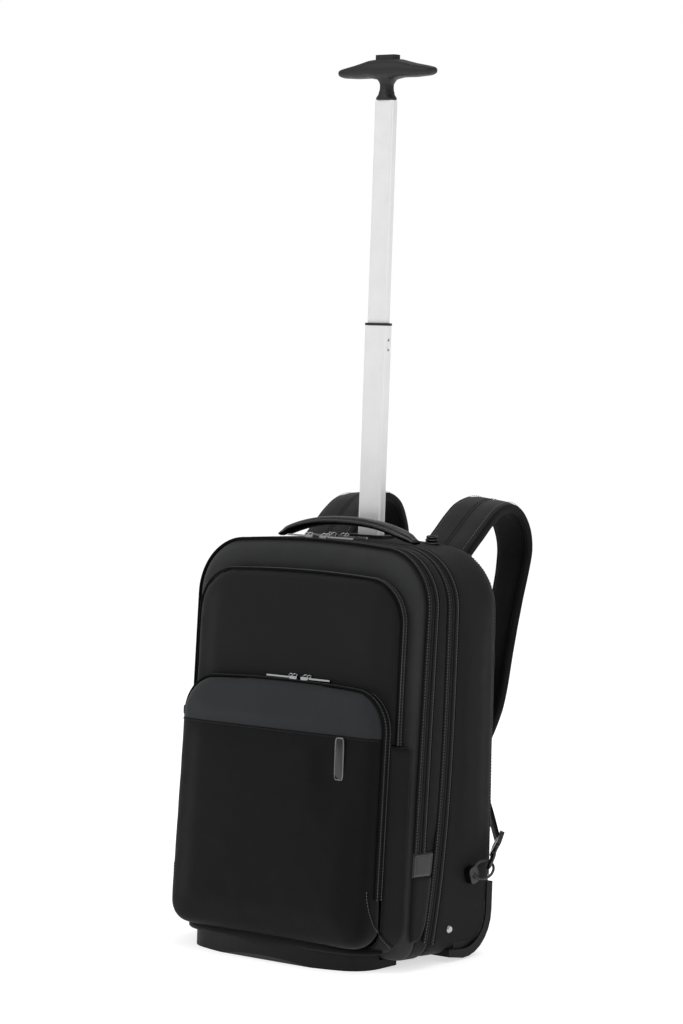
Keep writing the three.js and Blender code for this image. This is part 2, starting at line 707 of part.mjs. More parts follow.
// The outside of the rear shell, grown so that a strap cut by it only just clears the cloth
const rearOutside = loft(edgeRings(rearEdge, rearShape.straight, rearShape.bulge, 3, [0.72, 0.36])
  .map((row) => shellRing(bodyOutline, moved(rearZipLine, gapLine), backLine, row, 1, -clearance)));
const strapLineOf = (reach) => new THREE.CatmullRomCurve3(
  strapTable.map(({ across: x, back, up }) => new THREE.Vector3(x * strapAcross, back * reach, up * bodyTop)),
);
function strapOf(line) {
  const band = flatBand(line, (share) => {
    const turn = THREE.MathUtils.degToRad(tableAt(strapTable, 'turn', share));
    const outWay = new THREE.Vector3().crossVectors(strapOver, line.getTangent(share));
    return strapOver.clone().multiplyScalar(Math.cos(turn)).addScaledVector(outWay, -Math.sin(turn));
  }, (share) => [
    strapWidth * tableAt(strapTable, 'width', share), strapThickness * tableAt(strapTable, 'thick', share),
  ], 22, 8, 4);
  return cut(band, rearOutside);
}

// A closed loop of wire: an oval in the plane of two directions
function wireLoop(centre, along, over, halfLong, halfShort, wire) {
  const normal = new THREE.Vector3().crossVectors(along, over).normalize();
  const rings = [];
  for (let i = 0; i < loopSteps; i++) {
    const angle = (i / loopSteps) * Math.PI * 2;
    const [c, s] = [Math.cos(angle), Math.sin(angle)];
    const point = centre.clone().addScaledVector(along, halfLong * c).addScaledVector(over, halfShort * s);
    const out = along.clone().multiplyScalar(c * halfShort).addScaledVector(over, s * halfLong).normalize();
    rings.push(softRing(wire, wire, 2, 5).map(([a, b]) =>
      point.clone().addScaledVector(out, a).addScaledVector(normal, b)));
  }
  return loft(rings, true);
}
// Moves a shape drawn in its own frame to a place with given width, height and thickness directions
function place(geometry, centre, widthWay, heightWay) {
  const out = new THREE.Vector3().crossVectors(widthWay, heightWay);
  const frame = new THREE.Matrix4().makeBasis(widthWay, heightWay, out);
  return geometry.applyMatrix4(frame.setPosition(centre));
}
const plate = (width, height, corner, thickness, hole = null) => new THREE.ExtrudeGeometry(
  roundedShape(width, height, corner, hole), { depth: thickness, bevelEnabled: false, curveSegments: 2 },
).translate(0, 0, -thickness / 2);

// Side ring: an oval of wire held by a leather loop, leaning back and up along the side
const loopSteps = 12;
const ringHalfLong = 14;
const ringHalfShort = 9.5;
const ringWire = 1.5;
const ringStand = 10.4;
const ringBack = 44;
const ringAbove = 16;
const ringCentre = new THREE.Vector3(bodyHalfWidth + ringStand, guardForward + ringBack, guardTop + ringAbove);
const ringWay = new THREE.Vector3(0.2, 0.91, 0.36).normalize();
const ringOver = new THREE.Vector3(-0.49, -0.21, 0.84).projectOnPlane(ringWay).normalize();
const sideRing = wireLoop(ringCentre, ringWay, ringOver, ringHalfLong, ringHalfShort, ringWire);
const loopLength = 15;
const loopWidth = 19;
const loopThickness = 8;
const loopCentre = ringCentre.clone().addScaledVector(ringWay, -ringHalfLong);
loopCentre.setX(bodyHalfWidth + clearance + loopThickness / 2);
const flatWay = ringWay.clone().setX(0).normalize();
const anchorLoop = cut(
  place(plate(loopLength, loopWidth, loopLength / 3, loopThickness), loopCentre, flatWay,
    new THREE.Vector3(0, -flatWay.z, flatWay.y)),
  wireLoop(ringCentre, ringWay, ringOver, ringHalfLong, ringHalfShort, ringWire + 2 * clearance),
);

// Snap hook: a lower loop through the ring and an upper loop through the adjuster
const hookWay = new THREE.Vector3(-0.38, 0.8, 0.53).normalize();
const hookOver = new THREE.Vector3(0.64, -0.77, 0).projectOnPlane(hookWay).normalize();
const hookFoot = ringCentre.clone().addScaledVector(ringWay, ringHalfLong - ringWire - hookWire - 4 * clearance);
const hookHalfLong = 10;
const hookHalfShort = 8;
const hookEyeLong = 7;
const hookLoops = (wire) => [
  wireLoop(hookFoot.clone().addScaledVector(hookWay, hookHalfLong), hookWay, hookOver,
    hookHalfLong, hookHalfShort, wire),
  wireLoop(hookFoot.clone().addScaledVector(hookWay, 2 * hookHalfLong + hookEyeLong), hookWay, hookOver,
    hookEyeLong, hookHalfShort, wire),
];
const hook = join(...hookLoops(hookWire));

// Adjuster: a plate with a slot, threaded by the eye of the hook
const adjusterWidth = 26;
const adjusterHeight = 22;
const adjusterThickness = 5;
const hookTop = hookFoot.clone().addScaledVector(hookWay, 2 * (hookHalfLong + hookEyeLong));
const adjusterOver = hookOver;
const adjusterCentre = hookTop.clone().addScaledVector(hookWay, adjusterHeight / 2 - hookWire - 3);
const slot = { width: adjusterWidth - 8, depth: 7, corner: 2 };
const adjuster = cut(
  place(plate(adjusterWidth, adjusterHeight, 4, adjusterThickness, slot), adjusterCentre, adjusterOver, hookWay),
  ...hookLoops(hookWire + clearance),
);

// Lower webbing from the end of the strap to the adjuster
const webStop = adjusterCentre.clone().addScaledVector(hookWay, adjusterHeight / 2 + 1);
const webBow = 6;
function webbingOf(line) {
  const down = line.getTangent(1);
  const start = line.getPoint(1).addScaledVector(down, webThickness);
  const webLine = new THREE.CatmullRomCurve3([
    start,
    start.clone().addScaledVector(down, webBow),
    start.clone().lerp(webStop, 0.55).add(new THREE.Vector3(webBow / 2, webBow / 2, 0)),
    webStop.clone().addScaledVector(hookWay, webBow),
    webStop,
  ]);
  return flatBand(webLine, (share) => strapOver.clone().lerp(adjusterOver, share),
    () => [webWidth, webThickness], 8, 6, 3);
}

// Name plate on the front of the lower pocket, left bare
function reshape(geometry, move) {
  const p = geometry.attributes.position;
  const v = new THREE.Vector3();
  for (let i = 0; i < p.count; i++) {
    move(v.fromBufferAttribute(p, i));
    p.setXYZ(i, v.x, v.y, v.z);
  }
  return geometry;
}
const plateStand = lowerBulge / 2 + 2 * clearance;
const upWay = new THREE.Vector3(0, 0, 1);
const namePlate = reshape(
  place(plate(plateWidth, plateHeight, 3, plateThickness),
    new THREE.Vector3(plateAcross, -plateStand - plateThickness / 2, plateTop - plateHeight / 2),
    strapOver, upWay),
  (v) => v.setY(v.y + depthAt(lowerFaceLine, v.z)),
);
addPiece('name_plate', namePlate, materials.nickel);

// Front foot: bowed in plan, stepped where the body, the gusset and the pocket rest on it
const footBow = footSideFront - footFront;
const footRadius = (footHalfWidth ** 2 + footBow ** 2) / (2 * footBow);
const footReach = footHalfWidth - footCorner;
const footSwing = Math.asin(footReach / footRadius);
const footTurn = footFront + footRadius * (1 - Math.cos(footSwing)) + footCorner * Math.tan(footSwing);
const footPlan = new THREE.Shape();
footPlan.moveTo(footHalfWidth, footBack);
footPlan.lineTo(-footHalfWidth, footBack);
footPlan.lineTo(-footHalfWidth, footTurn + footCorner);
footPlan.quadraticCurveTo(-footHalfWidth, footTurn, -footReach, footTurn - footCorner * Math.tan(footSwing));
footPlan.absarc(0, footFront + footRadius, footRadius, Math.PI * 1.5 - footSwing, Math.PI * 1.5 + footSwing);
footPlan.quadraticCurveTo(footHalfWidth, footTurn, footHalfWidth, footTurn + footCorner);
const groundAt = (y) => wheelCentre.z - wheelRadius / Math.cos(leanAngle) + (y - wheelCentre.y) * Math.tan(leanAngle);
const footBlock = new THREE.ExtrudeGeometry(footPlan, { depth: 2 * beyond, bevelEnabled: false, curveSegments: 8 })
  .translate(0, 0, -beyond);
const gussetRear = depthAt(frontFaceLine, 0) + clearance;
const pocketRear = depthAt(upperFaceLine, 0) + clearance;
const footProfile = polygon([
  [footBack, groundAt(footBack)], [footBack, bodyBottom - clearance], [gussetRear, bodyBottom - clearance],
  [gussetRear, gussetBottom - clearance], [pocketRear + 4, gussetBottom - clearance],
  [pocketRear, lowerBottom - 2 - clearance], [footFront + 3, lowerBottom - 2 - clearance],
  [footFront, lowerBottom / 2], [footFront, groundAt(footFront) + footToe],
  [footFront + footToe, groundAt(footFront + footToe)],
]);
addPiece('base_foot', common(footBlock, across(footProfile, -wide, wide)), materials.plastic);

// Zip sliders with their pulls, each lying on the tape of its zip
const sliderLength = 11;
const sliderWidth = 8;
const sliderThickness = 3.4;
const pullWidth = 4.4;
const pullThickness = 1.8;
const tapeTop = tapeThickness + 2 * clearance;
function zipPair(name, foot, way, out, length, material = materials.nickel) {
  const over = new THREE.Vector3().crossVectors(out, way);
  const middle = foot.clone().addScaledVector(out, sliderThickness / 2);
  addPiece(`${name}_slider`,
    place(plate(sliderLength, sliderWidth, sliderWidth / 3, sliderThickness), middle, way, over), material);
  const start = sliderLength / 2 + clearance + length / 2;
  addPiece(`${name}_pull`,
    place(plate(length, pullWidth, pullWidth / 3, pullThickness),
      foot.clone().addScaledVector(way, start).addScaledVector(out, pullThickness), way, over), material);
}
// Slider places: distance across of the slider, which way its pull lies, and the length of the pull
const longPull = 36;
const middlePull = 30;
const shortPull = 27;
const topPairs = [
  { zip: 'front', line: frontZipLine, outline: bodyOutline, at: -14, way: -1, length: shortPull },
  { zip: 'front', line: frontZipLine, outline: bodyOutline, at: 6, way: 1, length: longPull },
  { zip: 'rear', line: rearZipLine, outline: bodyOutline, at: -8, way: -1, length: shortPull },
  { zip: 'rear', line: rearZipLine, outline: bodyOutline, at: 6, way: 1, length: middlePull },
  { zip: 'pocket', line: lowerTapeLine, outline: lowerOutline, at: 9, way: -1, length: longPull - 2 },
  { zip: 'pocket', line: lowerTapeLine, outline: lowerOutline, at: 25, way: 1, length: middlePull },
];
for (const { zip, line, outline, at, way, length } of topPairs) {
  const foot = new THREE.Vector3(at, depthAt(line, outline.top), outline.top + tapeTop);
  zipPair(`${zip}_zip_${way < 0 ? 'left' : 'right'}`, foot, strapOver.clone().multiplyScalar(way), upWay, length);
}
const sideSliderHeight = 254;
zipPair('side_zip',
  new THREE.Vector3(-lowerHalfWidth - tapeTop, depthAt(lowerTapeLine, sideSliderHeight), sideSliderHeight),
  upWay.clone().negate(), new THREE.Vector3(-1, 0, 0), longPull, materials.dark);

// Slider of the small zip on the top, behind the grab handle
const topSliderAcross = 90;
const topSliderDepth = -20;
const topSliderLength = 22;
const topSliderHeight = 12;
const topSliderFoot = surfaceTop(topSliderAcross - topSliderLength / 2) + clearance;
addPiece('top_slider',
  place(plate(topSliderLength, sliderWidth, sliderWidth / 3, topSliderHeight),
    new THREE.Vector3(topSliderAcross, topSliderDepth, topSliderFoot + topSliderHeight / 2),
    strapOver, new THREE.Vector3(0, 1, 0)), materials.dark);

const sides = [['right', 1], ['left', -1]];
function addPair(name, geometryOf, material) {
  for (const [word, sign] of sides) {
    const geometry = geometryOf.isBufferGeometry ? geometryOf : geometryOf(strapLineOf(strapReach[word]));
    addPiece(`${name}_${word}`, sign > 0 ? geometry : mirrored(geometry), material);
  }
}
addPair('zip_end_tab', endTab, materials.leather);
addPair('lower_side_panel', sidePanel, materials.cloth);
addPair('corner_guard', guard, materials.plastic);
addPair('wheel', wheel, materials.rubber);
addPair('wheel_axle', axle, materials.dark);
addPair('side_rivet', rivet, materials.nickel);
addPair('shoulder_strap', strapOf, materials.cloth);
addPair('lower_webbing', webbingOf, materials.cloth);
addPair('adjuster', adjuster, materials.plastic);
addPair('strap_hook', hook, materials.nickel);
addPair('side_ring', sideRing, materials.nickel);
addPair('anchor_loop', anchorLoop, materials.leather);

// The bag leans back until wheels and foot stand on the ground, and its box is centred on the origin
model.rotation.x = -leanAngle;
model.updateMatrixWorld(true);
const box = new THREE.Box3().setFromObject(model, true);
model.position.set(0, -(box.min.y + box.max.y) / 2, -box.min.z);

export default group;
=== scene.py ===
# Looks of the wheeled backpack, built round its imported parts. Shapes are drawn in the bag's own
# millimetres, with the front at -Y, and leaned back onto the ground when their mesh is made.
import math
from collections import namedtuple

import bmesh
import bpy
import numpy as np
from mathutils import Matrix, Vector
from mathutils.bvhtree import BVHTree


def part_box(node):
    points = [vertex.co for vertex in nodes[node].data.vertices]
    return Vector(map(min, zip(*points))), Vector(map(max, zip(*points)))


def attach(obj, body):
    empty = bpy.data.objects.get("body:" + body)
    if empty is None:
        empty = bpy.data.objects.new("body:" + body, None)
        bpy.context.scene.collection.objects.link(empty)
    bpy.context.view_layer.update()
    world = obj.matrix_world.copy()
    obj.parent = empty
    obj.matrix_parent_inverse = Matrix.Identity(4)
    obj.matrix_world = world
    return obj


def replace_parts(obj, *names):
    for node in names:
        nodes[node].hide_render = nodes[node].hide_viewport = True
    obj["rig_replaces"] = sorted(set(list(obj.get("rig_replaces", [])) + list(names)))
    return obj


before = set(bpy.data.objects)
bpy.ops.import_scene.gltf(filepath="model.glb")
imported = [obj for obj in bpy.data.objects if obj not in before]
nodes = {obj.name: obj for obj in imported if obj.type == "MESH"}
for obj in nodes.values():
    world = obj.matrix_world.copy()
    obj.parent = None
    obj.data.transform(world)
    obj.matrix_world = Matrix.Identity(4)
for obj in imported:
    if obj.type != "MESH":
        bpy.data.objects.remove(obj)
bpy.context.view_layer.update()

scene = bpy.context.scene

# The lean of the bag, and its place from the right wheel
LEAN = math.radians(3)
COS, SIN = math.cos(LEAN), math.sin(LEAN)
WHEEL_DEPTH, WHEEL_RADIUS, WHEEL_ACROSS, WHEEL_WIDTH = -16, 27, 145, 20
wheel_middle = sum(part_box("wheel_right"), Vector()) / 2 * 1000
SHIFT = np.array([
    0,
    wheel_middle.y - WHEEL_DEPTH * COS - WHEEL_RADIUS * SIN,
    wheel_middle.z + WHEEL_DEPTH * SIN - WHEEL_RADIUS * COS,
])
TURN = np.array([[1, 0, 0], [0, COS, SIN], [0, -SIN, COS]])


def leaned(points):
    """Bag millimetres to metres in the frame of the parts."""
    return (np.asarray(points, float) @ TURN.T + SHIFT) / 1000


def upright(points):
    """Metres in the frame of the parts to bag millimetres."""
    return (np.asarray(points, float) * 1000 - SHIFT) @ TURN


# Camera at the photograph's angle
camera = bpy.data.objects.new("camera", bpy.data.cameras.new("camera"))
scene.collection.objects.link(camera)
scene.camera = camera
camera.data.lens = 123.05
camera.data.sensor_width = 36
camera.data.clip_end = 60
EYE = (2512.9222, -3066.16, 627.4056)
AXES = np.array([
    [0.76475576, 0.64337569, 0.03487606],
    [-0.05027434, 0.00562065, 0.99871963],
    [0.64235591, -0.76552996, 0.03664371],
]) @ TURN.T
camera.matrix_world = Matrix.Translation(Vector(leaned(EYE))) @ Matrix(AXES.T.tolist()).to_4x4()


# Materials
class Wire:
    """A shader socket whose arithmetic adds Math nodes."""

    def __init__(self, look, socket):
        self.look = look
        self.socket = socket

    def math(self, operation, *others):
        values = dict(enumerate([self, *others]))
        return self.look.add("ShaderNodeMath", {"operation": operation}, values)

    def __add__(self, other):
        return self.math("ADD", other)

    __radd__ = __add__

    def __sub__(self, other):
        return self.math("SUBTRACT", other)

    def __rsub__(self, other):
        return (self * -1) + other

    def __mul__(self, other):
        return self.math("MULTIPLY", other)

    __rmul__ = __mul__

    def __gt__(self, other):
        return self.math("GREATER_THAN", other)


class Look:
    """A procedural material round one Principled shader."""

    def __init__(self, name, **constants):
        self.material = bpy.data.materials.new(name)
        self.material.use_nodes = True
        self.tree = self.material.node_tree
        self.tree.nodes.clear()
        self.shader = self.tree.nodes.new("ShaderNodeBsdfPrincipled")
        self.add("ShaderNodeOutputMaterial", {}, {"Surface": Wire(self, self.shader.outputs[0])}, None)
        for socket, value in constants.items():
            self.shader.inputs[socket.replace("_", " ")].default_value = value

    def add(self, kind, settings=None, values=None, out=0):
        node = self.tree.nodes.new(kind)
        for key, value in (settings or {}).items():
            setattr(node, key, value)
        for key, value in (values or {}).items():
            if isinstance(value, Wire):
                self.tree.links.new(value.socket, node.inputs[key])
            else:
                node.inputs[key].default_value = value
        return None if out is None else Wire(self, node.outputs[out])

    def feed(self, socket, wire):
        self.tree.links.new(wire.socket, self.shader.inputs[socket])

    def place(self):
        """The point on the object, as three numbers in metres."""
        point = self.add("ShaderNodeTexCoord", {}, {}, "Object")
        node = self.tree.nodes.new("ShaderNodeSeparateXYZ")
        self.tree.links.new(point.socket, node.inputs[0])
        return point, [Wire(self, o) for o in node.outputs]

    def facing(self):
        """How much the face looks along each axis of the object."""
        way = self.add("ShaderNodeTexCoord", {}, {}, "Normal")
        node = self.tree.nodes.new("ShaderNodeSeparateXYZ")
        self.tree.links.new(way.socket, node.inputs[0])
        return [Wire(self, o).math("ABSOLUTE") for o in node.outputs]

    def noise(self, point, scale, detail=3.0, roughness=0.55):
        values = {"Vector": point, "Scale": scale, "Detail": detail, "Roughness": roughness}
        return self.add("ShaderNodeTexNoise", {}, values, "Fac")

    def blend(self, share, first, second):
        values = {0: share, 6: (*first, 1), 7: (*second, 1)}
        return self.add("ShaderNodeMix", {"data_type": "RGBA"}, values, 2)

    def bump(self, height, distance, strength=1.0):
        values = {"Height": height, "Distance": distance, "Strength": strength}
        self.feed("Normal", self.add("ShaderNodeBump", {}, values))


SCREEN_WHITE, SCREEN_GAMMA = 255, 2.2


def grey(level, blue=0.0):
    """A near-neutral colour from a level of 0 to 255 as a screen shows it."""
    linear = (level / SCREEN_WHITE) ** SCREEN_GAMMA
    return (linear, linear * (1 + blue * 0.4), linear * (1 + blue))


def woven(name, dark, light, thread=0.9, depth=0.16, roughness=0.8, sheen=0.1, blue=0.04, ribs=0.0):
    """Plain-woven cloth: threads by position, so it needs no map of the surface."""
    look = Look(name, Sheen_Weight=sheen, Sheen_Roughness=0.45, Specular_IOR_Level=0.16)
    point, (x, y, z) = look.place()
    across, deep, up = look.facing()
    sideways = across > deep.math("MAXIMUM", up)
    flat = up > deep.math("MAXIMUM", across)
    u = x + (y - x) * sideways
    v = z + (y - z) * flat
    turn = 2 * math.pi / (thread / 1000)
    warp = (u * turn).math("SINE")
    weft = (v * turn).math("SINE")
    weave = warp * weft * 0.5 + 0.5
    if ribs:
        weave = weave * 0.5 + (v * (2 * math.pi / (ribs / 1000))).math("SINE") * 0.25 + 0.25
    broad = look.noise(point, 7, 3)
    middle = look.noise(point, 60, 4)
    fine = look.noise(point, 1400, 2)
    shade = broad * 0.45 + middle * 0.25 + weave * 0.2 + fine * 0.25 - 0.1
    look.feed("Base Color", look.blend(shade, grey(dark, blue), grey(light, blue)))
    look.feed("Roughness", middle * 0.16 + weave * -0.06 + (roughness - 0.05))
    look.bump(weave + fine * 0.7, depth / 1000, 0.7)
    return look.material


def moulded(name, dark, light, roughness=0.5, grain=0.12, blue=0.02, specular=0.4):
    """Moulded plastic or rubber with a fine spark-eroded grain and worn patches."""
    look = Look(name, Specular_IOR_Level=specular)
    point, _ = look.place()
    grit = look.noise(point, 1700, 2)
    broad = look.noise(point, 14, 4)
    look.feed("Base Color", look.blend(broad * 0.7 + grit * 0.3, grey(dark, blue), grey(light, blue)))
    look.feed("Roughness", broad * 0.18 + grit * 0.08 + (roughness - 0.12))
    look.bump(grit, grain / 1000, 0.6)
    return look.material


def hide(name, dark, light, roughness=0.32):
    """Leather-look sheet: small closed cells with creases between them."""
    look = Look(name, Specular_IOR_Level=0.3, Coat_Roughness=0.2)
    point, _ = look.place()
    edges = {"feature": "DISTANCE_TO_EDGE"}
    cells = look.add("ShaderNodeTexVoronoi", edges, {"Vector": point, "Scale": 650})
    crease = (cells * 6).math("MINIMUM", 1)
    broad = look.noise(point, 22, 4)
    fine = look.noise(point, 900, 2)
    shade = broad * 0.6 + crease * 0.25 + fine * 0.15
    look.feed("Base Color", look.blend(shade, grey(dark), grey(light)))
    look.feed("Roughness", broad * 0.22 + (roughness - 0.06) + crease * -0.08 + 0.04)
    look.feed("Coat Weight", broad * 0.35)
    look.bump(crease + fine * 0.3, 0.00012, 0.55)
    return look.material


def metal(name, level, roughness, brushed=0.0, metallic=1.0, blue=0.02):
    """Bare or plated metal, brushed along its height where it is drawn tube."""
    look = Look(name, Metallic=metallic)
    point, (x, y, z) = look.place()
    spot = look.noise(point, 45, 4)
    line = look.add("ShaderNodeCombineXYZ", {}, {0: x * 2600, 1: y * 2600, 2: z * 16})
    scratch = look.noise(line, 1, 3)
    wear = spot * 0.6 + scratch * 0.4
    look.feed("Base Color", look.blend(wear, grey(level * 0.93, blue), grey(level, blue)))
    look.feed("Roughness", spot * 0.12 + scratch * (0.05 + brushed) + (roughness - 0.08))
    look.bump(scratch, 0.00002 + brushed / 20000, 0.5)
    return look.material


# The nylon is one cloth, made as copies painted lighter or darker than upper_nylon for the light that
# falls on each part. The front shell and the upper zip's tape are painted lit, and the gusset is painted a
# little lit. The rear shell, middle band, side panels, lower pocket and the roll under it are painted in
# shade.
nylon = woven("upper_nylon", 13, 37)
front_cloth_painted_lit = woven("front_nylon_painted_lit", 24, 70)
lower_cloth_painted_shade = woven("lower_nylon_painted_shade", 4, 18)
gusset_look_painted_lit = woven("gusset_nylon_painted_lit", 13, 41, sheen=0.1)
nylon_side_painted_shade = woven("side_nylon_painted_shade", 5, 20)
coated = woven("coated_cloth", 27, 55, thread=0.7, depth=0.06, roughness=0.6, sheen=0.1, blue=0.2)
tape_look = woven("zip_tape_cloth", 9, 30, thread=1.1, depth=0.25, sheen=0.08)
piping_look = woven("piping_cloth", 1, 7, thread=1.1, depth=0.15, sheen=0.02)
strap_face = woven("strap_cloth", 17, 47, thread=1.0, depth=0.2, sheen=0.2, ribs=2.4)
air_mesh = woven("strap_mesh", 1, 4, thread=2.6, depth=0.7, sheen=0.02)
binding = woven("binding_tape", 5, 18, thread=1.3, depth=0.25, sheen=0.06)
thread_look = woven("sewing_thread", 66, 130, thread=0.5, depth=0.1, sheen=0.1)
leather = hide("leather_look_sheet", 6, 19, 0.25)
charcoal = moulded("charcoal_plastic", 20, 38, roughness=0.48)
black_plastic = moulded("black_plastic", 4, 15, roughness=0.58, specular=0.25)
rubber = moulded("wheel_rubber_black", 14, 34, roughness=0.75, grain=0.2, specular=0.25)
silver = metal("drawn_silver_tube", 254, 0.3, brushed=0.04, metallic=0.25, blue=0.0)
nickel = metal("nickel_plate", 178, 0.2)
dull_nickel = metal("plate_frame_nickel", 120, 0.28)
dark_metal = metal("dark_plated_metal", 70, 0.3)
glass_black = moulded("plate_black", 10, 26, roughness=0.14, grain=0.01, specular=0.6)


# Lines of the bag: depth at the top, at the floor, and how late it bends
BODY_TOP = 453
BACK = (8, 18, 1)
REAR_ZIP = (-74, -103, 3.85)
FRONT_ZIP = (-107, -122, 1)
FRONT_FACE = (-124, -134, 1)
UPPER_FACE = (-134, -152, 0.35)
LOWER_FACE = (-160, -186, 1)
UPPER_TAPE = (-130, -141, 0.6)
LOWER_TAPE = (-148, -162, 1)

Outline = namedtuple("Outline", "half top bottom top_corner bottom_corner crown")
BODY = Outline(165, 453, 4, 64, 22, 4)
UPPER = Outline(146, 419, 237.3, 48, 4, 3)
GUSSET = Outline(158.5, 237, 12, 4, 30, 0)
GUSSET_FRONT = Outline(145, 237, 15, 4, 26, 0)
LOWER = Outline(144, 299, 17, 44, 26, 3)


def depth(line, z):
    top, floor, power = line
    return top + (floor - top) * np.maximum(0, 1 - np.asarray(z) / BODY_TOP) ** power


def moved(line, by):
    return (line[0] + by, line[1] + by, line[2])


def even(points, count, closed=False):
    """The same line through evenly spaced points."""
    p = np.asarray(points, float)
    if closed:
        p = np.vstack([p, p[:1]])
    run = np.concatenate([[0], np.cumsum(np.linalg.norm(np.diff(p, axis=0), axis=1))])
    at = np.linspace(0, run[-1], count, endpoint=not closed)
    return np.stack([np.interp(at, run, p[:, k]) for k in range(p.shape[1])], 1)


def arc(x, z, radius, start, end, steps=24):
    turn = np.radians(np.linspace(start, end, steps))
    return np.stack([x + radius * np.cos(turn), z + radius * np.sin(turn)], 1)


def arch(o, inset, foot, count=None):
    """The upper part of an outline, from the right foot over the top to the left foot."""
    corner = max(o.top_corner - inset, 1)
    half = o.half - inset
    reach = half - corner
    shoulder = o.top - inset - o.crown - corner
    share = np.linspace(1, -1, 60)[1:-1]
    top = np.stack([reach * share, o.top - inset - o.crown * share ** 2], 1)
    right = np.vstack([[half, foot], arc(reach, shoulder, corner, 0, 90)])
    line = np.vstack([right, top, right[::-1] * (-1, 1)])
    return even(line, count, False) if count else line


def loop(o, inset, count):
    """The whole outline, with its rounded bottom corners."""
    corner = max(o.bottom_corner - inset, 1)
    foot = o.bottom + inset + corner
    reach = o.half - inset - corner
    left = arc(-reach, foot, corner, 180, 270)[1:]
    right = arc(reach, foot, corner, 270, 360)[:-1]
    return even(np.vstack([arch(o, inset, foot), left, right]), count, True)


def unit(v):
    v = np.asarray(v, float)
    return v / np.maximum(np.linalg.norm(v, axis=-1, keepdims=True), 1e-9)


class Line:
    """A line on a surface, with the surface's outward way at each point."""

    def __init__(self, points, out, closed=False):
        self.points = np.asarray(points, float)
        self.closed = closed
        if closed:
            step = np.roll(self.points, -1, 0) - np.roll(self.points, 1, 0)
        else:
            step = np.gradient(self.points, axis=0)
        self.along = unit(step)
        out = np.broadcast_to(np.asarray(out, float), self.points.shape)
        self.side = unit(np.cross(self.along, out))
        self.out = np.cross(self.side, self.along)

    def moved(self, side=0.0, out=0.0):
        side, out = np.asarray(side, float), np.asarray(out, float)
        shift = self.side * side[..., None] + self.out * out[..., None]
        return Line(self.points + shift, self.out, self.closed)

    def spaced(self, pitch):
        both = np.hstack([self.points, self.out])
        step = np.linalg.norm(np.diff(self.points, axis=0), axis=1)
        run = np.concatenate([[0], np.cumsum(step)])
        count = max(int(run[-1] / pitch), 2)
        at = np.linspace(0, run[-1], count)
        new = np.stack([np.interp(at, run, both[:, k]) for k in range(6)], 1)
        return Line(new[:, :3], new[:, 3:])

    def part(self, start, end):
        count = len(self.points)
        stretch = slice(int(start * count), int(end * count))
        return Line(self.points[stretch], self.out[stretch])


def edge_line(o, line, foot, outset=0.0, count=400):
    """The line of a zip: along an outline's arch, at the depth that a depth line gives."""
    flat = arch(o, -outset, foot, count)
    step = np.gradient(flat, axis=0)
    out = np.stack([step[:, 1], np.zeros(count), -step[:, 0]], 1)
    points = np.stack([flat[:, 0], depth(line, flat[:, 1]), flat[:, 1]], 1)
    return Line(points, unit(out))


def oval(half_a, half_b, power, count):
    turn = np.linspace(0, 2 * math.pi, count, endpoint=False)
    c, s = np.cos(turn), np.sin(turn)
    a = half_a * np.sign(c) * np.abs(c) ** (2 / power)
    b = half_b * np.sign(s) * np.abs(s) ** (2 / power)
    return np.stack([a, b], 1)


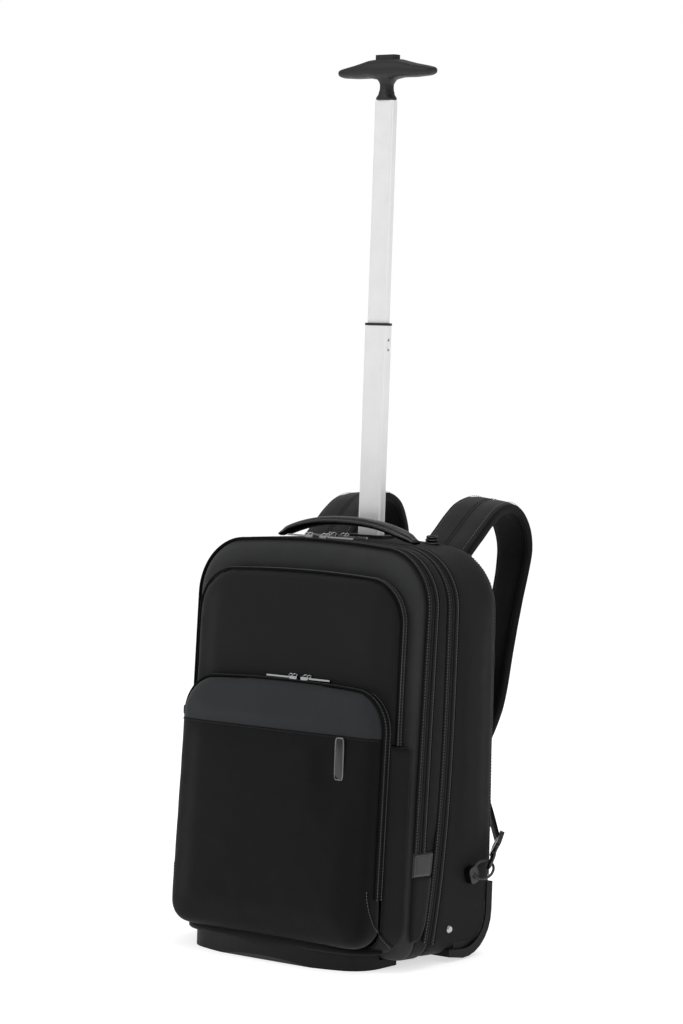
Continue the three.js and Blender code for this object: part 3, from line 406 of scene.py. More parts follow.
class Work:
    """Gathers surfaces in bag millimetres and makes one piece of them."""

    def __init__(self):
        self.points = []
        self.faces = []
        self.kinds = []
        self.count = 0

    def put(self, points, faces, kind=0):
        self.points.append(np.asarray(points, float))
        self.faces += [[i + self.count for i in face] for face in faces]
        self.kinds += [kind] * len(faces) if isinstance(kind, int) else list(kind)
        self.count += len(points)
        return self

    def rings(self, rings, kind=0, round_way=False, kind_at=None):
        """A surface through rings of equal count, with closed ends unless it runs round."""
        rings = np.asarray(rings, float)
        rows, count = rings.shape[:2]
        points = rings.reshape(-1, 3)
        faces, kinds = [], []
        for r in range(rows if round_way else rows - 1):
            here, there = r * count, ((r + 1) % rows) * count
            for i in range(count):
                j = (i + 1) % count
                faces.append((here + i, here + j, there + j, there + i))
                kinds.append(kind_at(i) if kind_at else kind)
        if not round_way:
            for first in (0, (rows - 1) * count):
                middle = points[first:first + count].mean(0)
                points = np.vstack([points, middle])
                for i in range(count):
                    faces.append((first + i, first + (i + 1) % count, len(points) - 1))
                    kinds.append(kind)
        return self.put(points, faces, kinds)

    def sweep(self, line, section, kind=0, kind_at=None):
        """A section, as [side, out] points or one such list for each point, carried along a line."""
        section = np.asarray(section, float)
        if section.ndim == 2:
            section = np.broadcast_to(section, (len(line.points), *section.shape))
        side = line.side[:, None] * section[..., :1]
        out = line.out[:, None] * section[..., 1:]
        return self.rings(line.points[:, None] + side + out, kind, line.closed, kind_at)

    def tube(self, line, radius, sides=8, kind=0):
        return self.sweep(line, oval(radius, radius, 2, sides), kind)

    def bars(self, line, half, kind=0):
        """A row of small bars: half sizes along the line, to its side and outward."""
        corners = np.array([[a, s, o] for a in (-1, 1) for s in (-1, 1) for o in (-1, 1)], float)
        faces = ((0, 1, 3, 2), (4, 6, 7, 5), (0, 4, 5, 1), (2, 3, 7, 6), (0, 2, 6, 4), (1, 5, 7, 3))
        for p, a, s, o in zip(line.points, line.along, line.side, line.out):
            self.put(p + corners * half @ np.stack([a, s, o]), faces, kind)
        return self

    def stitches(self, line, pitch=3.4, length=2.3, thick=0.42, kind=0):
        """Sewn stitches: short spindles that dip into the cloth at both ends."""
        row = line.spaced(pitch)
        shape = [(-0.5, 0.3, -0.5), (-0.25, 1, 0.25), (0.25, 1, 0.25), (0.5, 0.3, -0.5)]
        ring = oval(1, 1, 2, 5)
        for p, a, s, o in zip(row.points, row.along, row.side, row.out):
            rings = [p + a * (length * t) + o * (thick * lift) + (
                s * ring[:, :1] + o * ring[:, 1:]) * (thick * wide) for t, wide, lift in shape]
            self.rings(rings, kind)
        return self

    def mirrored(self):
        copy = Work()
        copy.points = [p * (-1, 1, 1) for p in self.points]
        copy.faces, copy.kinds, copy.count = self.faces, self.kinds, self.count
        return copy

    def make(self, name, *looks, slot=None, body="bag", stands_for=(), smooth=True):
        mesh = bpy.data.meshes.new(name)
        mesh.from_pydata(leaned(np.vstack(self.points)).tolist(), [], self.faces)
        for look in looks:
            mesh.materials.append(look)
        mesh.polygons.foreach_set("material_index", np.array(self.kinds, np.int32))
        clean = bmesh.new()
        clean.from_mesh(mesh)
        bmesh.ops.recalc_face_normals(clean, faces=clean.faces)
        clean.to_mesh(mesh)
        clean.free()
        mesh.polygons.foreach_set("use_smooth", np.full(len(mesh.polygons), smooth))
        piece = bpy.data.objects.new(name, mesh)
        scene.collection.objects.link(piece)
        return settle(piece, body, stands_for)


def settle(piece, body, stands_for):
    if body:
        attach(piece, body)
    if stands_for:
        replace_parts(piece, *stands_for)
    return piece


def fixed(piece):
    """Applies the piece's modifiers."""
    bpy.context.view_layer.update()
    done = bpy.data.meshes.new_from_object(piece.evaluated_get(bpy.context.evaluated_depsgraph_get()))
    piece.modifiers.clear()
    piece.data = done
    done.polygons.foreach_set("use_smooth", np.full(len(done.polygons), True))
    return piece


def modifier(piece, kind, **settings):
    made = piece.modifiers.new(kind.lower(), kind)
    for key, value in settings.items():
        setattr(made, key, value)
    return made


def corners(piece):
    co = np.zeros(len(piece.data.vertices) * 3)
    piece.data.vertices.foreach_get("co", co)
    return co.reshape(-1, 3)


def stuffed(piece, voxel, cap, free, pressure=4.0, frames=20, level=1):
    """Cloth blown up a little by simulation. free(points) is how far each point may follow, 0 to 1."""
    modifier(piece, "REMESH", mode="VOXEL", voxel_size=voxel / 1000)
    fixed(piece)
    modifier(piece, "SMOOTH", factor=0.5, iterations=6)
    fixed(piece)
    start = corners(piece)
    cloth = modifier(piece, "CLOTH")
    cloth.settings.use_pressure = True
    cloth.settings.uniform_pressure_force = pressure
    cloth.settings.effector_weights.gravity = 0
    cloth.settings.quality = 4
    for number in range(1, frames + 1):
        scene.frame_set(number)
    fixed(piece)
    scene.frame_set(1)
    move = corners(piece) - start
    far = np.linalg.norm(move, axis=1, keepdims=True)
    limit = cap / 1000
    move *= limit * np.tanh(far / limit) / np.maximum(far, 1e-9) * free(upright(start))[:, None]
    piece.data.vertices.foreach_set("co", (start + move).ravel())
    modifier(piece, "SMOOTH", factor=0.5, iterations=3)
    fixed(piece)
    modifier(piece, "SUBSURF", levels=level, render_levels=level)
    return fixed(piece)


def step(low, high, value):
    """0 below low, 1 above high, smooth between."""
    share = np.clip((value - low) / (high - low), 0, 1)
    return share * share * (3 - 2 * share)


def laid(piece, points, way, lift=0.0):
    """Points in bag millimetres dropped along a way onto a piece, with the surface's outward way."""
    bpy.context.view_layer.update()
    tree = BVHTree.FromObject(piece, bpy.context.evaluated_depsgraph_get())
    heading = Vector(TURN @ np.asarray(way, float)).normalized()
    found, outs = [], []
    for p in np.asarray(points, float):
        hit, normal, _, _ = tree.ray_cast(Vector(leaned(p)) - heading * 0.2, heading)
        if hit is None:
            continue
        if normal.dot(heading) > 0:
            normal.negate()
        found.append(upright(np.array(hit)) + lift * (np.array(normal) @ TURN))
        outs.append(np.array(normal) @ TURN)
    return Line(found, outs)


def seen(pieces, points, lift=0.0):
    """Points moved along the camera's line of sight onto the nearest of some pieces."""
    bpy.context.view_layer.update()
    graph = bpy.context.evaluated_depsgraph_get()
    trees = [BVHTree.FromObject(piece, graph) for piece in pieces]
    eye = Vector(leaned(EYE))
    found, outs = [], []
    for p in np.asarray(points, float):
        way = (Vector(leaned(p)) - eye).normalized()
        hits = [h for h in (tree.ray_cast(eye, way) for tree in trees) if h[0] is not None]
        if hits:
            hit, normal, _, _ = min(hits, key=lambda h: h[3])
            found.append(upright(np.array(hit)))
            outs.append(np.array(normal) @ TURN * (-1 if normal.dot(way) > 0 else 1))
    return Line(found, outs).moved(out=lift)


# Soft forms
def form_rings(o, rim, face, edge, straight, bulge, facing, count=220, rise=None):
    """Rings from a rim over a rounded edge to the middle of a face."""
    rows = [(0, 0, 1, 0)]
    rows += [(straight * t, 0, 1, 0) for t in np.linspace(0, 1, 7)[1:]]
    for turn in np.radians(np.linspace(0, 90, 9)[1:]):
        rows.append((straight + (1 - straight) * math.sin(turn), edge * (1 - math.cos(turn)), 1, 0))
    rows += [(1, edge, s, bulge * (1 - s * s)) for s in np.linspace(1, 0.06, 18)[1:]]
    middle = (o.top + o.bottom) / 2
    rings = []
    for share, inset, scale, puff in rows:
        flat = loop(o, inset, count)
        x = flat[:, 0] * scale
        z = middle + (flat[:, 1] - middle) * scale
        y = depth(rim, z) + (depth(face, z) + facing * puff - depth(rim, z)) * share
        if rise is not None:
            z = z + rise(x, y, z)
        rings.append(np.stack([x, y, z], 1))
    return rings


def top_rise(x, y, z):
    """The back of the top stands a little higher than the zips."""
    share = step(-70, 0, y) * step(380, 440, z)
    return 3.6 * share * (1 - np.minimum(np.abs(x) / 150, 1) ** 4)


rear = Work().rings(form_rings(BODY, moved(REAR_ZIP, 0.2), BACK, 10, 0.88, 3, 1, 260, top_rise))
rear_shell = rear.make("rear_body", nylon_side_painted_shade, slot="fabric", stands_for=["rear_shell"])


def rear_free(p):
    x, y, z = p.T
    panel = step(2, 12, y) * step(40, 90, z) * (1 - step(400, 440, z)) * (1 - step(120, 155, np.abs(x)))
    side = 0.35 * step(-60, -45, y) * (1 - step(-8, 4, y)) * step(110, 140, z)
    return panel + side * (1 - step(380, 420, z))


stuffed(rear_shell, 6, 4, rear_free, pressure=2.5, frames=14)


def cutter(name, x0, x1, y0, y1, z0, z1):
    corners_of = [[x, y, z] for x in (x0, x1) for y in (y0, y1) for z in (z0, z1)]
    faces = ((0, 1, 3, 2), (4, 6, 7, 5), (0, 4, 5, 1), (2, 3, 7, 6), (0, 2, 6, 4), (1, 5, 7, 3))
    return Work().put(corners_of, faces).make(name, nylon, body=None, smooth=False)


def carved(piece, *tools):
    for tool in tools:
        modifier(piece, "BOOLEAN", operation="DIFFERENCE", object=tool, solver="EXACT")
    fixed(piece)
    for tool in tools:
        bpy.data.objects.remove(tool)
    return piece


def prism(name, profile, x0, x1):
    """A profile drawn in depth and height, carried from one distance across to another."""
    count = len(profile)
    points = [(x, y, z) for x in (x0, x1) for y, z in profile]
    faces = [(i, (i + 1) % count, count + (i + 1) % count, count + i) for i in range(count)]
    faces += [tuple(range(count)), tuple(range(count, 2 * count))]
    return Work().put(points, faces).make(name, nylon, body=None, smooth=False)


# Shaft of the pole. At each rear corner the guard's rim shows, and the cloth covers the housing
GUARD_REAR, GUARD_RADIUS, GUARD_TOP, GUARD_FRONT, GUARD_RIM = 13.8, 49, 82.3, -60.3, 10.3
HOUSING_IN, HOUSING_OUT = 129.7, 162.4
rim_arc = arc(GUARD_REAR - GUARD_RADIUS, 50, GUARD_RADIUS - GUARD_RIM, 0, -90, 16)
rim_profile = [(60, GUARD_TOP), (GUARD_REAR - GUARD_RIM, GUARD_TOP), *rim_arc.tolist(),
               (GUARD_FRONT, 12.3), (GUARD_FRONT, -30), (60, -30)]
housing_profile = [
    (14.8, 82), (-49.3, 82), (-49.3, 13.6), (GUARD_FRONT, 12.6), (GUARD_FRONT, -30), (14.8, -30),
]
tools = [cutter("shaft", -18.6, 18.6, -28.1, -7.9, 112, 500)]
for sign in (1, -1):
    tools.append(prism("rim_room", rim_profile, sign * HOUSING_IN, sign * 200))
    tools.append(prism("housing_room", housing_profile, sign * HOUSING_IN, sign * HOUSING_OUT))
carved(rear_shell, *tools)

# Middle band between the two zips, a little full where it is bare
rings = []
for t in np.linspace(0, 1, 9):
    flat = loop(BODY, 0, 260)
    full = 1.8 * math.sin(math.pi * t) * step(128, 160, flat[:, 1])
    out = unit(flat - (0, 228)) * full[:, None]
    y = depth(moved(FRONT_ZIP, 0.2), flat[:, 1]) * (1 - t) + depth(moved(REAR_ZIP, -0.2), flat[:, 1]) * t
    rings.append(np.stack([flat[:, 0] + out[:, 0], y, flat[:, 1] + out[:, 1]], 1))
for line in (REAR_ZIP, FRONT_ZIP):
    flat = loop(BODY, 3, 260)
    rings.append(np.stack([flat[:, 0], depth(line, flat[:, 1]), flat[:, 1]], 1))
Work().rings(rings, round_way=True).make(
    "middle_band_cloth", nylon_side_painted_shade, slot="fabric", stands_for=["middle_band"])

front = Work().rings(form_rings(BODY, moved(FRONT_ZIP, -0.2), FRONT_FACE, 15, 0.12, 0, -1, 260))
front.make("front_body", front_cloth_painted_lit, slot="fabric", stands_for=["front_shell"])

upper = Work().rings(form_rings(UPPER, moved(FRONT_FACE, -0.3), UPPER_FACE, 7, 0.6, 0, -1))
upper_pocket = upper.make("upper_pocket_cloth", nylon, slot="fabric", stands_for=["upper_pocket"])


def upper_free(p):
    x, y, z = p.T
    inside = np.minimum(139 - np.abs(x), 412 - z)
    return step(2, 30, inside) * step(6, 40, z - 237) * step(0, 4, depth(FRONT_FACE, z) - y)


stuffed(upper_pocket, 5, 4.5, upper_free)

# Gusset of the lower pocket: a band that narrows to the front
rings = []
for t in np.linspace(0, 1, 9):
    back, fore = loop(GUSSET, 0, 220), loop(GUSSET_FRONT, 0, 220)
    flat = back + (fore - back) * t + unit(back - (0, 124)) * (1.4 * math.sin(math.pi * t))
    y0, y1 = depth(moved(FRONT_FACE, -0.3), flat[:, 1]), depth(UPPER_FACE, flat[:, 1])
    rings.append(np.stack([flat[:, 0], y0 + (y1 - y0) * t, flat[:, 1]], 1))
for o, line in ((GUSSET_FRONT, UPPER_FACE), (GUSSET, FRONT_FACE)):
    flat = loop(o, 3, 220)
    rings.append(np.stack([flat[:, 0], depth(line, flat[:, 1]), flat[:, 1]], 1))
gusset_cloth = Work().rings(rings, round_way=True).make(
    "gusset_cloth", gusset_look_painted_lit, slot="fabric", stands_for=["pocket_gusset"])

lower = Work().rings(form_rings(LOWER, moved(UPPER_FACE, -0.3), LOWER_FACE, 14, 0.55, 5, -1))
lower_pocket = lower.make("lower_pocket_cloth", lower_cloth_painted_shade, slot="fabric", stands_for=["lower_pocket"])


def lower_free(p):
    x, y, z = p.T
    inside = np.minimum(np.minimum(136 - np.abs(x), 290 - z), z - 22)
    plate = step(14, 46, np.hypot(x - 97, (z - 222) * 0.55))
    return step(2, 34, inside) * (0.35 + 0.65 * step(2, 22, np.abs(z - 247))) * plate


stuffed(lower_pocket, 5, 4, lower_free)


def halved(piece, name, height, *looks, slot, stands_for):
    """Splits a piece at a height: it keeps what is below, and a new piece has what is above."""
    upper_piece = piece.copy()
    upper_piece.data = piece.data.copy()
    upper_piece.name = name
    scene.collection.objects.link(upper_piece)
    normal = Vector(TURN @ np.array([0, 0, 1.0]))
    for half, gap, sign in ((piece, -0.2, 1), (upper_piece, 0.2, -1)):
        cut = bmesh.new()
        cut.from_mesh(half.data)
        at = Vector(leaned([0, 0, height + gap]))
        geometry = cut.verts[:] + cut.edges[:] + cut.faces[:]
        bmesh.ops.bisect_plane(cut, geom=geometry, plane_co=at, plane_no=normal * sign, clear_outer=True)
        open_edges = [e for e in cut.edges if e.is_boundary]
        bmesh.ops.holes_fill(cut, edges=open_edges)
        cut.to_mesh(half.data)
        cut.free()
    upper_piece.data.materials.clear()
    for look in looks:
        upper_piece.data.materials.append(look)
    del upper_piece["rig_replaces"]
    return settle(upper_piece, "bag", stands_for)


halved(lower_pocket, "coated_band_cloth", 247, coated, slot="coated_fabric",
       stands_for=["coated_band"])

# Fold line of the coated band, laid on the pocket
across = np.linspace(-141, 141, 200)
hem = laid(lower_pocket, [(x, 0, 245.6) for x in across], (0, 1, 0))
Work().tube(hem.moved(out=0.2), 0.9).make("coated_band_hem", tape_look, slot="zip_tape")


# Zips
def zip_piece(name, node, o, line, foot, width, outset=0.3, pipes=1.3, look=tape_look):
    base = edge_line(o, line, foot, outset)
    w = width / 2
    mouth = min(3.0, w * 0.4)
    section = [(-w, 0), (-w, 0.9), (-w + 0.7, 1.4), (-mouth - 1, 1.7), (-mouth, 1.4), (-mouth, 0.5),
               (mouth, 0.5), (mouth, 1.4), (mouth + 1, 1.7), (w - 0.7, 1.4), (w, 0.9), (w, 0)]
    work = Work().sweep(base, section)
    coil = base.moved(out=1.0)
    teeth = coil.spaced(1.7)
    work.bars(teeth.moved(side=-0.5), (0.5, mouth * 0.62, 0.5), 1)
    for sign in (-1, 1):
        work.tube(base.moved(side=sign * (w + 0.6), out=0.6), pipes, 8, 2)
        inset = 2 if width > 8 else 1
        work.stitches(base.moved(side=sign * (w - inset), out=1.5), 3.4, 2.2, 0.44, 3)
    looks = (look, black_plastic, piping_look, thread_look)
    return work.make(name, *looks, slot="zip_tape", stands_for=[node])


zip_piece("rear_zip", "zip_rear", BODY, REAR_ZIP, 24, 19)
zip_piece("front_zip", "zip_front", BODY, FRONT_ZIP, 124, 19)
# The upper zip's tape takes the front nylon painted lit: a painted highlight along the pocket's arch.
zip_piece("upper_zip", "zip_upper", UPPER, UPPER_TAPE, 240, 7, pipes=0.9, look=front_cloth_painted_lit)
zip_piece("lower_zip", "zip_lower", LOWER, LOWER_TAPE, 74, 11, pipes=1.1)


# Seams: piping on the back edge and round the lower pocket's bottom corners
def face_loop(o, line, inset, lift, facing, count=300):
    flat = loop(o, inset, count)
    points = np.stack([flat[:, 0], depth(line, flat[:, 1]) + facing * lift, flat[:, 1]], 1)
    middle = (0, 0, (o.top + o.bottom) / 2)
    return Line(points, unit((points - middle) * (1, 0, 1)) * 0.7 + (0, facing * 0.7, 0), True)


back_points = face_loop(BODY, BACK, 5.5, -2, 1).points
back_seam = [p for p in back_points if not (p[2] < 86 and abs(p[0]) > 122)]
back_seam = sorted(back_seam, key=lambda p: math.atan2(p[0], p[2] - 200))
upper_back = laid(rear_shell, [p for p in back_seam if p[2] > 86], (0, -1, 0))
seam = Work().tube(upper_back, 1.5)
seam.stitches(upper_back.moved(side=4, out=0), 3.6, 2.4, 0.4, 1)
seam.stitches(upper_back.moved(side=-4, out=0), 3.6, 2.4, 0.4, 1)
seam.make("back_piping", binding, thread_look, slot="fabric")

CORNER_SEAM = [(-182.2, 84), (-181.8, 76.4), (-177.7, 63.1), (-170.2, 48.4), (-155.8, 34), (-139.8, 21.6)]
curve = even(CORNER_SEAM, 60)
corner = seen([lower_pocket, gusset_cloth], [(150, y, z) for y, z in curve])
seam = Work().tube(corner, 1.2).stitches(corner.moved(side=3), 3.4, 2.2, 0.38, 1)
seam.make("corner_piping_right", binding, thread_look, slot="fabric")
seam.mirrored().make("corner_piping_left", binding, thread_look, slot="fabric")


# Soft roll where the cloth turns under the pocket and meets the foot
ROLL_RADIUS, ROLL_SMOOTHING = 4.6, 30
turn_under = even(
    [(138, -142, 14), (131, -158, 14), (114, -169, 14.5), (84, -175, 15), (0, -177, 15.5)], 60)
turn_under = np.vstack([turn_under, turn_under[-2::-1] * (-1, 1, 1)])
for _ in range(ROLL_SMOOTHING):
    turn_under[1:-1] = (turn_under[:-2] + turn_under[2:]) / 2
full = ROLL_RADIUS * np.sin(math.pi * np.linspace(0.03, 0.97, len(turn_under))) ** 0.3
roll = oval(1, 1, 2, 16)[None] * full[:, None, None]
Work().sweep(Line(turn_under, (0, 0, 1)), roll).make("turned_under_cloth", lower_cloth_painted_shade, slot="fabric")


# Side panels and leather-look end tabs between the two zips
def side_pad(thickness, bottom, top, rounding, reach=1.5, steps=28):
    face = BODY.half + 0.3
    rings = []
    for z in np.linspace(bottom, top, steps):
        low = max(0, 1 - (z - bottom) / rounding)
        tuck = rounding * (1 - math.sqrt(1 - low ** 2)) * 0.6
        a = depth(FRONT_ZIP, z) - 9.5 - reach + tuck * 0.3
        b = depth(REAR_ZIP, z) - 9.5 - reach - tuck
        end = min(z - bottom, top - z)
        puff = thickness * (0.35 + 0.65 * min(1, max(0, end / 4)) ** 0.5)
        share = np.linspace(0, 1, 15)
        bow = face + puff * (1 - np.abs(2 * share - 1) ** 5 * 0.55)
        outer = np.stack([bow, a + (b - a) * share, np.full(15, z)], 1)
        rings.append(np.vstack([[(face, a, z)], outer, [(face, b, z)]]))
    return rings


def rim_line(bottom, top, thickness, gap=4.0):
    z = np.linspace(bottom + gap, top - gap, 30)
    a = depth(FRONT_ZIP, z) - 11 + gap
    b = depth(REAR_ZIP, z) - 11 - gap
    x = np.full(30, BODY.half + 0.3 + thickness * 0.93)
    up = np.stack([x, a, z], 1)
    down = np.stack([x, b, z], 1)[::-1]
    return Line(np.vstack([up, down, up[:1]]), (1, 0, 0))


for name, node, look, thickness, bottom, top, rounding, slot in (
    ("end_tab", "zip_end_tab", leather, 2, 96.7, 123.7, 1, "leather_look"),
    ("side_panel", "lower_side_panel", nylon_side_painted_shade, 3, 26, 96.4, 24, "fabric"),
):
    pad = Work().rings(side_pad(thickness, bottom, top, rounding))
    if name == "end_tab":
        pad.stitches(rim_line(bottom, top, thickness, 3), 2.6, 1.9, 0.36, 1)
    pad.make(name + "_right", look, thread_look, slot=slot, stands_for=[node + "_right"])
    pad.mirrored().make(name + "_left", look, thread_look, slot=slot, stands_for=[node + "_left"])


# Grab handle: a padded arch with flat sewn edges
HANDLE_HALF, HANDLE_CREST, HANDLE_END = 98, 474, 455
share = np.linspace(-1, 1, 90)
handle_points = np.stack([
    share * HANDLE_HALF, np.full(90, -58.0),
    HANDLE_CREST - (HANDLE_CREST - HANDLE_END) * np.abs(share) ** 2.4], 1)
handle_line = Line(handle_points, (0, 0, 1))
lip = [(-13.5, -1.6), (-13.5, 0.2), (-12.6, 0.9), (-9.6, 1.0), (-8.6, 2.4), (-6.5, 4.0), (-3, 4.8), (0, 5),
       (3, 4.8), (6.5, 4.0), (8.6, 2.4), (9.6, 1.0), (12.6, 0.9), (13.5, 0.2), (13.5, -1.6),
       (11, -3.6), (6, -4.7), (0, -5), (-6, -4.7), (-11, -3.6)]
narrow = 1 - 0.45 * step(0.8, 1, np.abs(share))
sections = np.array(lip)[None] * np.stack([narrow, 1 - 0.45 * step(0.88, 1, np.abs(share))], 1)[:, None]
handle = Work().sweep(handle_line, sections)
for sign in (-1, 1):
    sewn_edge = handle_line.part(0.04, 0.96).moved(side=sign * 11.2 * narrow[3:86], out=0.95)
    handle.stitches(sewn_edge, 3, 2.1, 0.36, 1)
handle.make("grab_handle_leather", leather, thread_look, slot="leather_look", stands_for=["grab_handle"])


# Shoulder straps
Row = namedtuple("Row", "across back up turn width thick")
STRAP = [Row(*r) for r in (
    (1.01, -0.045, 0.945, 0, 1.22, 1.1), (1.01, 0.065, 0.98, 0, 1.22, 1.1),
    (1.005, 0.225, 1.022, 1, 1.2, 1.05),
    (1, 0.37, 1.06, 3, 1.17, 1), (0.99, 0.51, 1.086, 6, 1.1, 1), (0.99, 0.67, 1.095, 10, 1.04, 1),
    (0.99, 0.83, 1.077, 14, 1, 1), (1, 0.94, 1.037, 18, 1, 1), (1, 0.993, 0.987, 20, 1, 1),
    (1, 0.978, 0.938, 20, 1, 1), (1, 0.912, 0.857, 18, 1, 1), (1, 0.78, 0.706, 14, 1, 1),
    (0.99, 0.686, 0.6, 9, 0.96, 1), (0.965, 0.585, 0.52, 4, 0.82, 0.9), (0.94, 0.47, 0.459, 0, 0.6, 0.6))]
STRAP_ACROSS, STRAP_WIDTH, STRAP_THICK = 87, 57, 13


def centripetal(points, per):
    """A smooth curve through points, even where they are unevenly spaced."""
    p = np.asarray(points, float)
    p = np.vstack([2 * p[0] - p[1], p, 2 * p[-1] - p[-2]])
    made = []
    for i in range(1, len(p) - 2):
        gaps = [np.linalg.norm(p[i + j] - p[i + j - 1]) ** 0.5 for j in range(3)]
        k = np.concatenate([[0], np.cumsum(gaps)])
        for t in np.linspace(k[1], k[2], per, endpoint=i == len(p) - 3):
            a = [p[i - 1 + j] * (k[j + 1] - t) / (k[j + 1] - k[j])
                 + p[i + j] * (t - k[j]) / (k[j + 1] - k[j])
                 for j in range(3)]
            b = [a[j] * (k[j + 2] - t) / (k[j + 2] - k[j])
                 + a[j + 1] * (t - k[j]) / (k[j + 2] - k[j])
                 for j in range(2)]
            made.append(b[0] * (k[2] - t) / (k[2] - k[1]) + b[1] * (t - k[1]) / (k[2] - k[1]))
    return np.array(made)


def strap(side, sign, reach):
    route = [(r.across * STRAP_ACROSS, r.back * reach, r.up * BODY_TOP) for r in STRAP]
    line = even(centripetal(route, 12), 170)
    place = np.linspace(0, len(STRAP) - 1, 170)
    values = {k: np.interp(place, range(len(STRAP)), [getattr(r, k) for r in STRAP])
              for k in ("turn", "width", "thick")}
    along = unit(np.gradient(line, axis=0))
    over = np.array([1.0, 0, 0])
    away = np.cross(over, along)
    turn = np.radians(values["turn"])[:, None]
    edge = unit(over * np.cos(turn) - away * np.sin(turn))
    edge = unit(edge - along * (edge * along).sum(1, keepdims=True))
    outward = -np.cross(along, edge)
    core = Line(line, outward)
    width = STRAP_WIDTH * values["width"] / 2
    thick = STRAP_THICK * values["thick"] / 2
    ring = oval(1, 1, 4, 44)
    groove = 1 - 0.16 * np.exp(-(ring[:, 0] / 0.05) ** 2) * (ring[:, 1] > 0)
    shape = ring * np.stack([np.ones(44), groove], 1)
    section = shape[None] * np.stack([width - 2.2, thick], 1)[:, None]
    pad = Work().sweep(core, section, kind_at=lambda i: 0 if ring[i, 1] >= -0.2 else 1)
    for way in (-1, 1):
        pad.sweep(core.moved(side=way * (width - 2.4)), oval(2.5, 1, 3, 14) * [[1, 4.6]], 2)
        pad.stitches(core.moved(side=way * (width - 6.5), out=thick * 0.985), 3.6, 2.5, 0.42, 3)
        seam_side = np.full(np.shape(width), way * 2.2)
        pad.stitches(core.moved(side=seam_side, out=thick * 0.985), 3.6, 2.5, 0.42, 2)
    if sign < 0:
        pad = pad.mirrored()
    piece = pad.make("padded_strap_" + side, strap_face, air_mesh, binding, thread_look, slot="fabric",
                     stands_for=["shoulder_strap_" + side])
    return core


cores = {"right": strap("right", 1, 137), "left": strap("left", -1, 117)}


# Side hardware
def wire_loop(centre, along, over, half_long, half_short, steps=56):
    normal = unit(np.cross(along, over))
    turn = np.linspace(0, 2 * math.pi, steps, endpoint=False)[:, None]
    points = centre + along * (half_long * np.cos(turn)) + over * (half_short * np.sin(turn))
    return Line(points, normal, True)


def square_to(way, over):
    over = np.asarray(over, float)
    return unit(over - way * (over @ way))


RING_CENTRE = np.array([175.4, -16, 98])
ring_way = unit([0.2, 0.91, 0.36])
ring_over = square_to(ring_way, (-0.49, -0.21, 0.84))
hook_way = unit([-0.38, 0.8, 0.53])
hook_over = square_to(hook_way, (0.64, -0.77, 0))
hook_foot = RING_CENTRE + ring_way * (14 - 1.5 - 1.8 - 1.2)
hook_top = hook_foot + hook_way * 34
adjuster_centre = hook_top + hook_way * (11 - 1.8 - 3)
hard = {
    "side_ring": (
        Work().tube(wire_loop(RING_CENTRE, ring_way, ring_over, 14, 9.5), 1.5, 12),
        dark_metal, "dark_metal",
    ),
    "strap_hook": (
        Work().tube(wire_loop(hook_foot + hook_way * 10, hook_way, hook_over, 10, 8), 1.8, 12)
        .tube(wire_loop(hook_foot + hook_way * 27, hook_way, hook_over, 7, 8), 1.8, 12),
        dark_metal, "dark_metal"),
}
for name, (work, look, slot) in hard.items():
    work.make(name + "_wire_right", look, slot=slot, stands_for=[name + "_right"])
    work.mirrored().make(name + "_wire_left", look, slot=slot, stands_for=[name + "_left"])
for side, sign in (("right", 1), ("left", -1)):
    end = cores[side].points[-1]
    share = np.linspace(0, 1, 40)[:, None]
    start = end - cores[side].along[-1] * 6
    stop = adjuster_centre + hook_way * 5
    sag = np.sin(math.pi * share) * np.array([0, 6, -2])
    web = Line(start + (stop - start) * share + sag, unit([0.5, 0.8, 0.2]))
    cross = [
        (-11, -0.9), (-11, 0.9), (-9.5, 1.1), (-4, 0.9), (0, 1.05), (4, 0.9), (9.5, 1.1), (11, 0.9),
        (11, -0.9),
    ]
    work = Work().sweep(web, cross)
    if sign < 0:
        work = work.mirrored()
    work.make("webbing_" + side, binding, slot="zip_tape", stands_for=["lower_webbing_" + side])


# Wheels, turned round their axles
def turned(profile, centre_x, sides=72):
    rings = []
    for angle in np.linspace(0, 2 * math.pi, sides, endpoint=False):
        rings.append([(centre_x + x, WHEEL_DEPTH + r * math.cos(angle), WHEEL_RADIUS + r * math.sin(angle))
                      for r, x in profile])
    return rings


half = WHEEL_WIDTH / 2
tyre = [(18.5, -half + 1.4), (21, -half + 0.6), (24.5, -half + 0.8), (26.4, -half + 3), (27, -half + 5),
        (26.6, -2.6), (26.1, -2), (26.6, -1.4), (26.6, 1.4), (26.1, 2), (26.6, 2.6),
        (27, half - 5), (26.4, half - 3), (24.5, half - 0.8), (21, half - 0.6), (18.5, half - 1.4)]
hub = [(3.4, -half), (8, -half), (9.4, -half + 2.8), (18.2, -half + 2.4), (18.4, -half + 1.2),
       (18.4, half - 1.2), (18.2, half - 2.4), (9.4, half - 2.8), (8, half), (3.4, half)]
for side, sign in (("right", 1), ("left", -1)):
    x = sign * WHEEL_ACROSS
    wheel = Work().rings(turned(tyre, x), 0, True).rings(turned(hub, x), 1, True)
    wheel.make("roller_" + side, rubber, black_plastic, slot="wheel_rubber", body=side + "_wheel",
               stands_for=["wheel_" + side])

# Grip: the solid's own form, smoothed
grip = bpy.data.objects.new("moulded_grip", nodes["t_grip"].data.copy())
scene.collection.objects.link(grip)
modifier(grip, "REMESH", mode="VOXEL", voxel_size=0.0012)
modifier(grip, "SMOOTH", factor=0.5, iterations=6)
fixed(grip)
seat = Work().rings([[(x, -18 + y, z) for x, y in oval(15.4, 6.4, 5, 48)] for z in (987.8, 1010)])
carved(grip, seat.make("button_seat", charcoal, body=None, smooth=False))
grip.data.materials.clear()
grip.data.materials.append(charcoal)
settle(grip, "upper_stage", ["t_grip"])

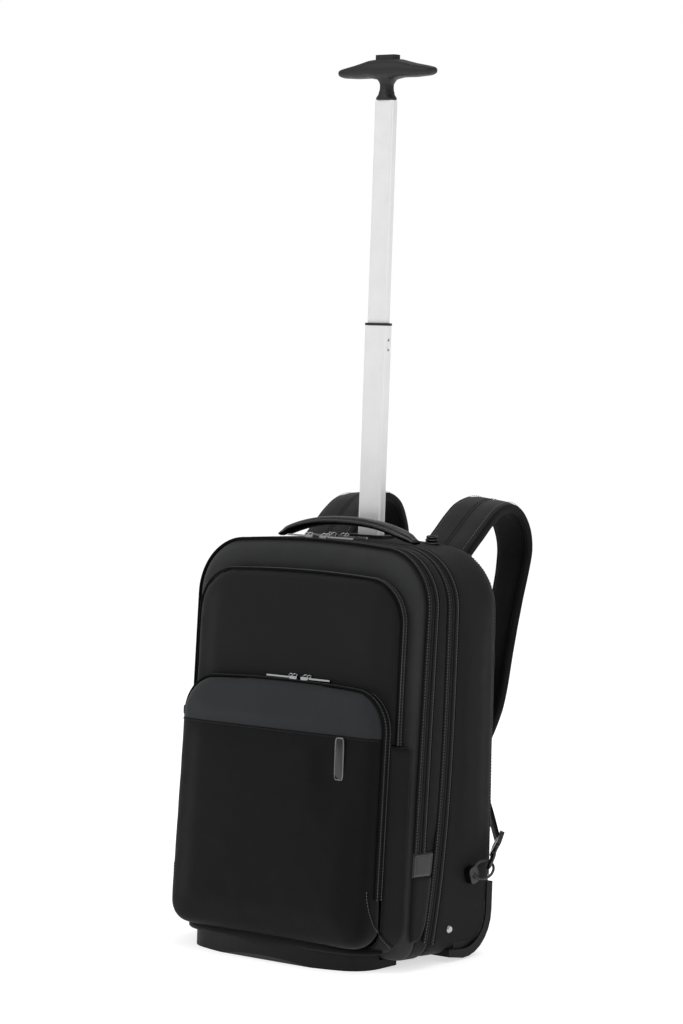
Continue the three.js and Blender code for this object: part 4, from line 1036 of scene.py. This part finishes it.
# Name plate: a bright frame round a bare dark face
PLATE = (97, 222.5)
plate_y = float(depth(LOWER_FACE, 222.5)) - 4.1
frame_ring = oval(6.5, 23.5, 7, 64)
frame_line = Line(np.stack([PLATE[0] + frame_ring[:, 0] * 0.88, np.full(64, plate_y + 1),
                            PLATE[1] + frame_ring[:, 1] * 0.965], 1), (0, -1, 0), True)
plate = Work().sweep(frame_line, oval(0.8, 0.9, 2.4, 12), 0)
inner = [np.stack([PLATE[0] + frame_ring[:, 0] * 0.86 * s, np.full(64, plate_y + 1 + y),
                   PLATE[1] + frame_ring[:, 1] * 0.96 * s], 1)
         for s, y in ((1, 0.9), (1, -0.25), (0.93, -0.4))]
plate.rings(inner, 1)
plate.make("name_plate_bare", dull_nickel, glass_black, slot="nickel", stands_for=["name_plate"])

# Hard parts that keep their own solids: a rounded edge and their finish
KEPT = {
    "pole_lower": (silver, 1.0), "pole_upper": (silver, 0.9), "pole_collar": (charcoal, 0.4),
    "pole_channel": (black_plastic, 0.3), "top_bezel": (charcoal, 1.2), "release_button": (charcoal, 0.9),
    "base_foot": (black_plastic, 3.5), "side_zip_slider": (dark_metal, 0.7),
    "side_zip_pull": (dark_metal, 0.5),
}
for side in ("right", "left"):
    KEPT["corner_guard_" + side] = (black_plastic, 0.8)
    KEPT["wheel_axle_" + side] = (dark_metal, 0.4)
    KEPT["side_rivet_" + side] = (nickel, 0.5)
    KEPT["anchor_loop_" + side] = (leather, 1.2)
    KEPT["adjuster_" + side] = (dark_metal, 0.8)
    for row in ("front", "rear", "pocket"):
        KEPT[f"{row}_zip_{side}_slider"] = (nickel, 0.8)
        KEPT[f"{row}_zip_{side}_pull"] = (nickel, 0.5)
for name, (look, width) in KEPT.items():
    node = nodes[name]
    node.data.materials.clear()
    node.data.materials.append(look)
    modifier(node, "BEVEL", width=width / 1000, segments=3, limit_method="ANGLE",
             angle_limit=math.radians(22), harden_normals=True)

# Bridges of the six zip sliders, and the wire slider beside the handle
for row, out in (("front", (0, 0, 1)), ("rear", (0, 0, 1)), ("pocket", (0, -0.25, 1))):
    bridges = Work()
    for side in ("right", "left"):
        low, high = (upright(np.array(corner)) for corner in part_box(f"{row}_zip_{side}_slider"))
        middle = (low + high) / 2
        top = middle + (0, 0, (high - low)[2] / 2 - 0.6)
        way = 1 if side == "right" else -1
        for along, half_long in ((0, 3.6), (way * 5.2, 2.6)):
            centre = top + (along, 0, 0.6)
            bridges.tube(wire_loop(centre, np.array([1.0, 0, 0]), unit(np.array([0, 0.55, 0.6])),
                                   half_long, 2.2, 24), 0.62, 8)
    bridges.make(row + "_zip_bridges", nickel, slot="nickel")
low, high = (upright(np.array(corner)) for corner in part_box("top_slider"))
middle = (low + high) / 2
slide = Work()
for lift, half_long, wire in ((-3.4, 10.2, 1.7), (0.4, 9.4, 1.3), (3.6, 8.2, 1.2)):
    slide.tube(wire_loop(middle + (0, 0, lift), np.array([1.0, 0, 0]), np.array([0, 1.0, 0.35]),
                         half_long - wire, 2.4, 36), wire, 10)
slide.make("top_wire_slider", dark_metal, slot="dark_metal", stands_for=["top_slider"])

# Stage: a pale floor, a white surround and soft lights
floor_mesh = bpy.data.meshes.new("floor")
floor_mesh.from_pydata([(x, y, 0) for x, y in ((-9, -9), (9, -9), (9, 9), (-9, 9))], [], [(0, 1, 2, 3)])
floor = bpy.data.objects.new("floor", floor_mesh)
scene.collection.objects.link(floor)
floor_look = Look("pale_floor", Roughness=0.9, Specular_IOR_Level=0.1, Emission_Strength=0.62)
floor_point, _ = floor_look.place()
floor_shade = floor_look.noise(floor_point, 3)
floor_look.feed("Base Color", floor_look.blend(floor_shade, (0.86, 0.86, 0.86), (0.9, 0.9, 0.9)))
floor_look.shader.inputs["Emission Color"].default_value = (1, 1, 1, 1)
floor_mesh.materials.append(floor_look.material)

world = bpy.data.worlds.new("studio")
scene.world = world
world.use_nodes = True
sky = world.node_tree.nodes["Background"]
sky.inputs["Color"].default_value = (1, 1, 1, 1)
sight = world.node_tree.nodes.new("ShaderNodeLightPath")
strength = world.node_tree.nodes.new("ShaderNodeMapRange")
strength.inputs["To Min"].default_value = 0.46
strength.inputs["To Max"].default_value = 1.0
world.node_tree.links.new(sight.outputs["Is Camera Ray"], strength.inputs["Value"])
world.node_tree.links.new(strength.outputs[0], sky.inputs["Strength"])


def soft_light(name, place, aim, size, power):
    data = bpy.data.lights.new(name, "AREA")
    data.shape = "RECTANGLE"
    data.size, data.size_y = size
    data.energy = power
    light = bpy.data.objects.new(name, data)
    scene.collection.objects.link(light)
    way = Vector(aim) - Vector(place)
    turned_to = way.to_track_quat("-Z", "Y").to_matrix().to_4x4()
    light.matrix_world = Matrix.Translation(Vector(place)) @ turned_to


soft_light("key", (-1.6, -2.6, 2.6), (0, 0, 0.3), (1.6, 1.6), 24)
soft_light("side", (2.8, -0.4, 1.6), (0, 0, 0.3), (1.0, 1.8), 7)
soft_light("top", (0.2, 0.5, 3.0), (0, 0, 0.4), (2.0, 1.2), 21)
scene.view_settings.view_transform = "Standard"
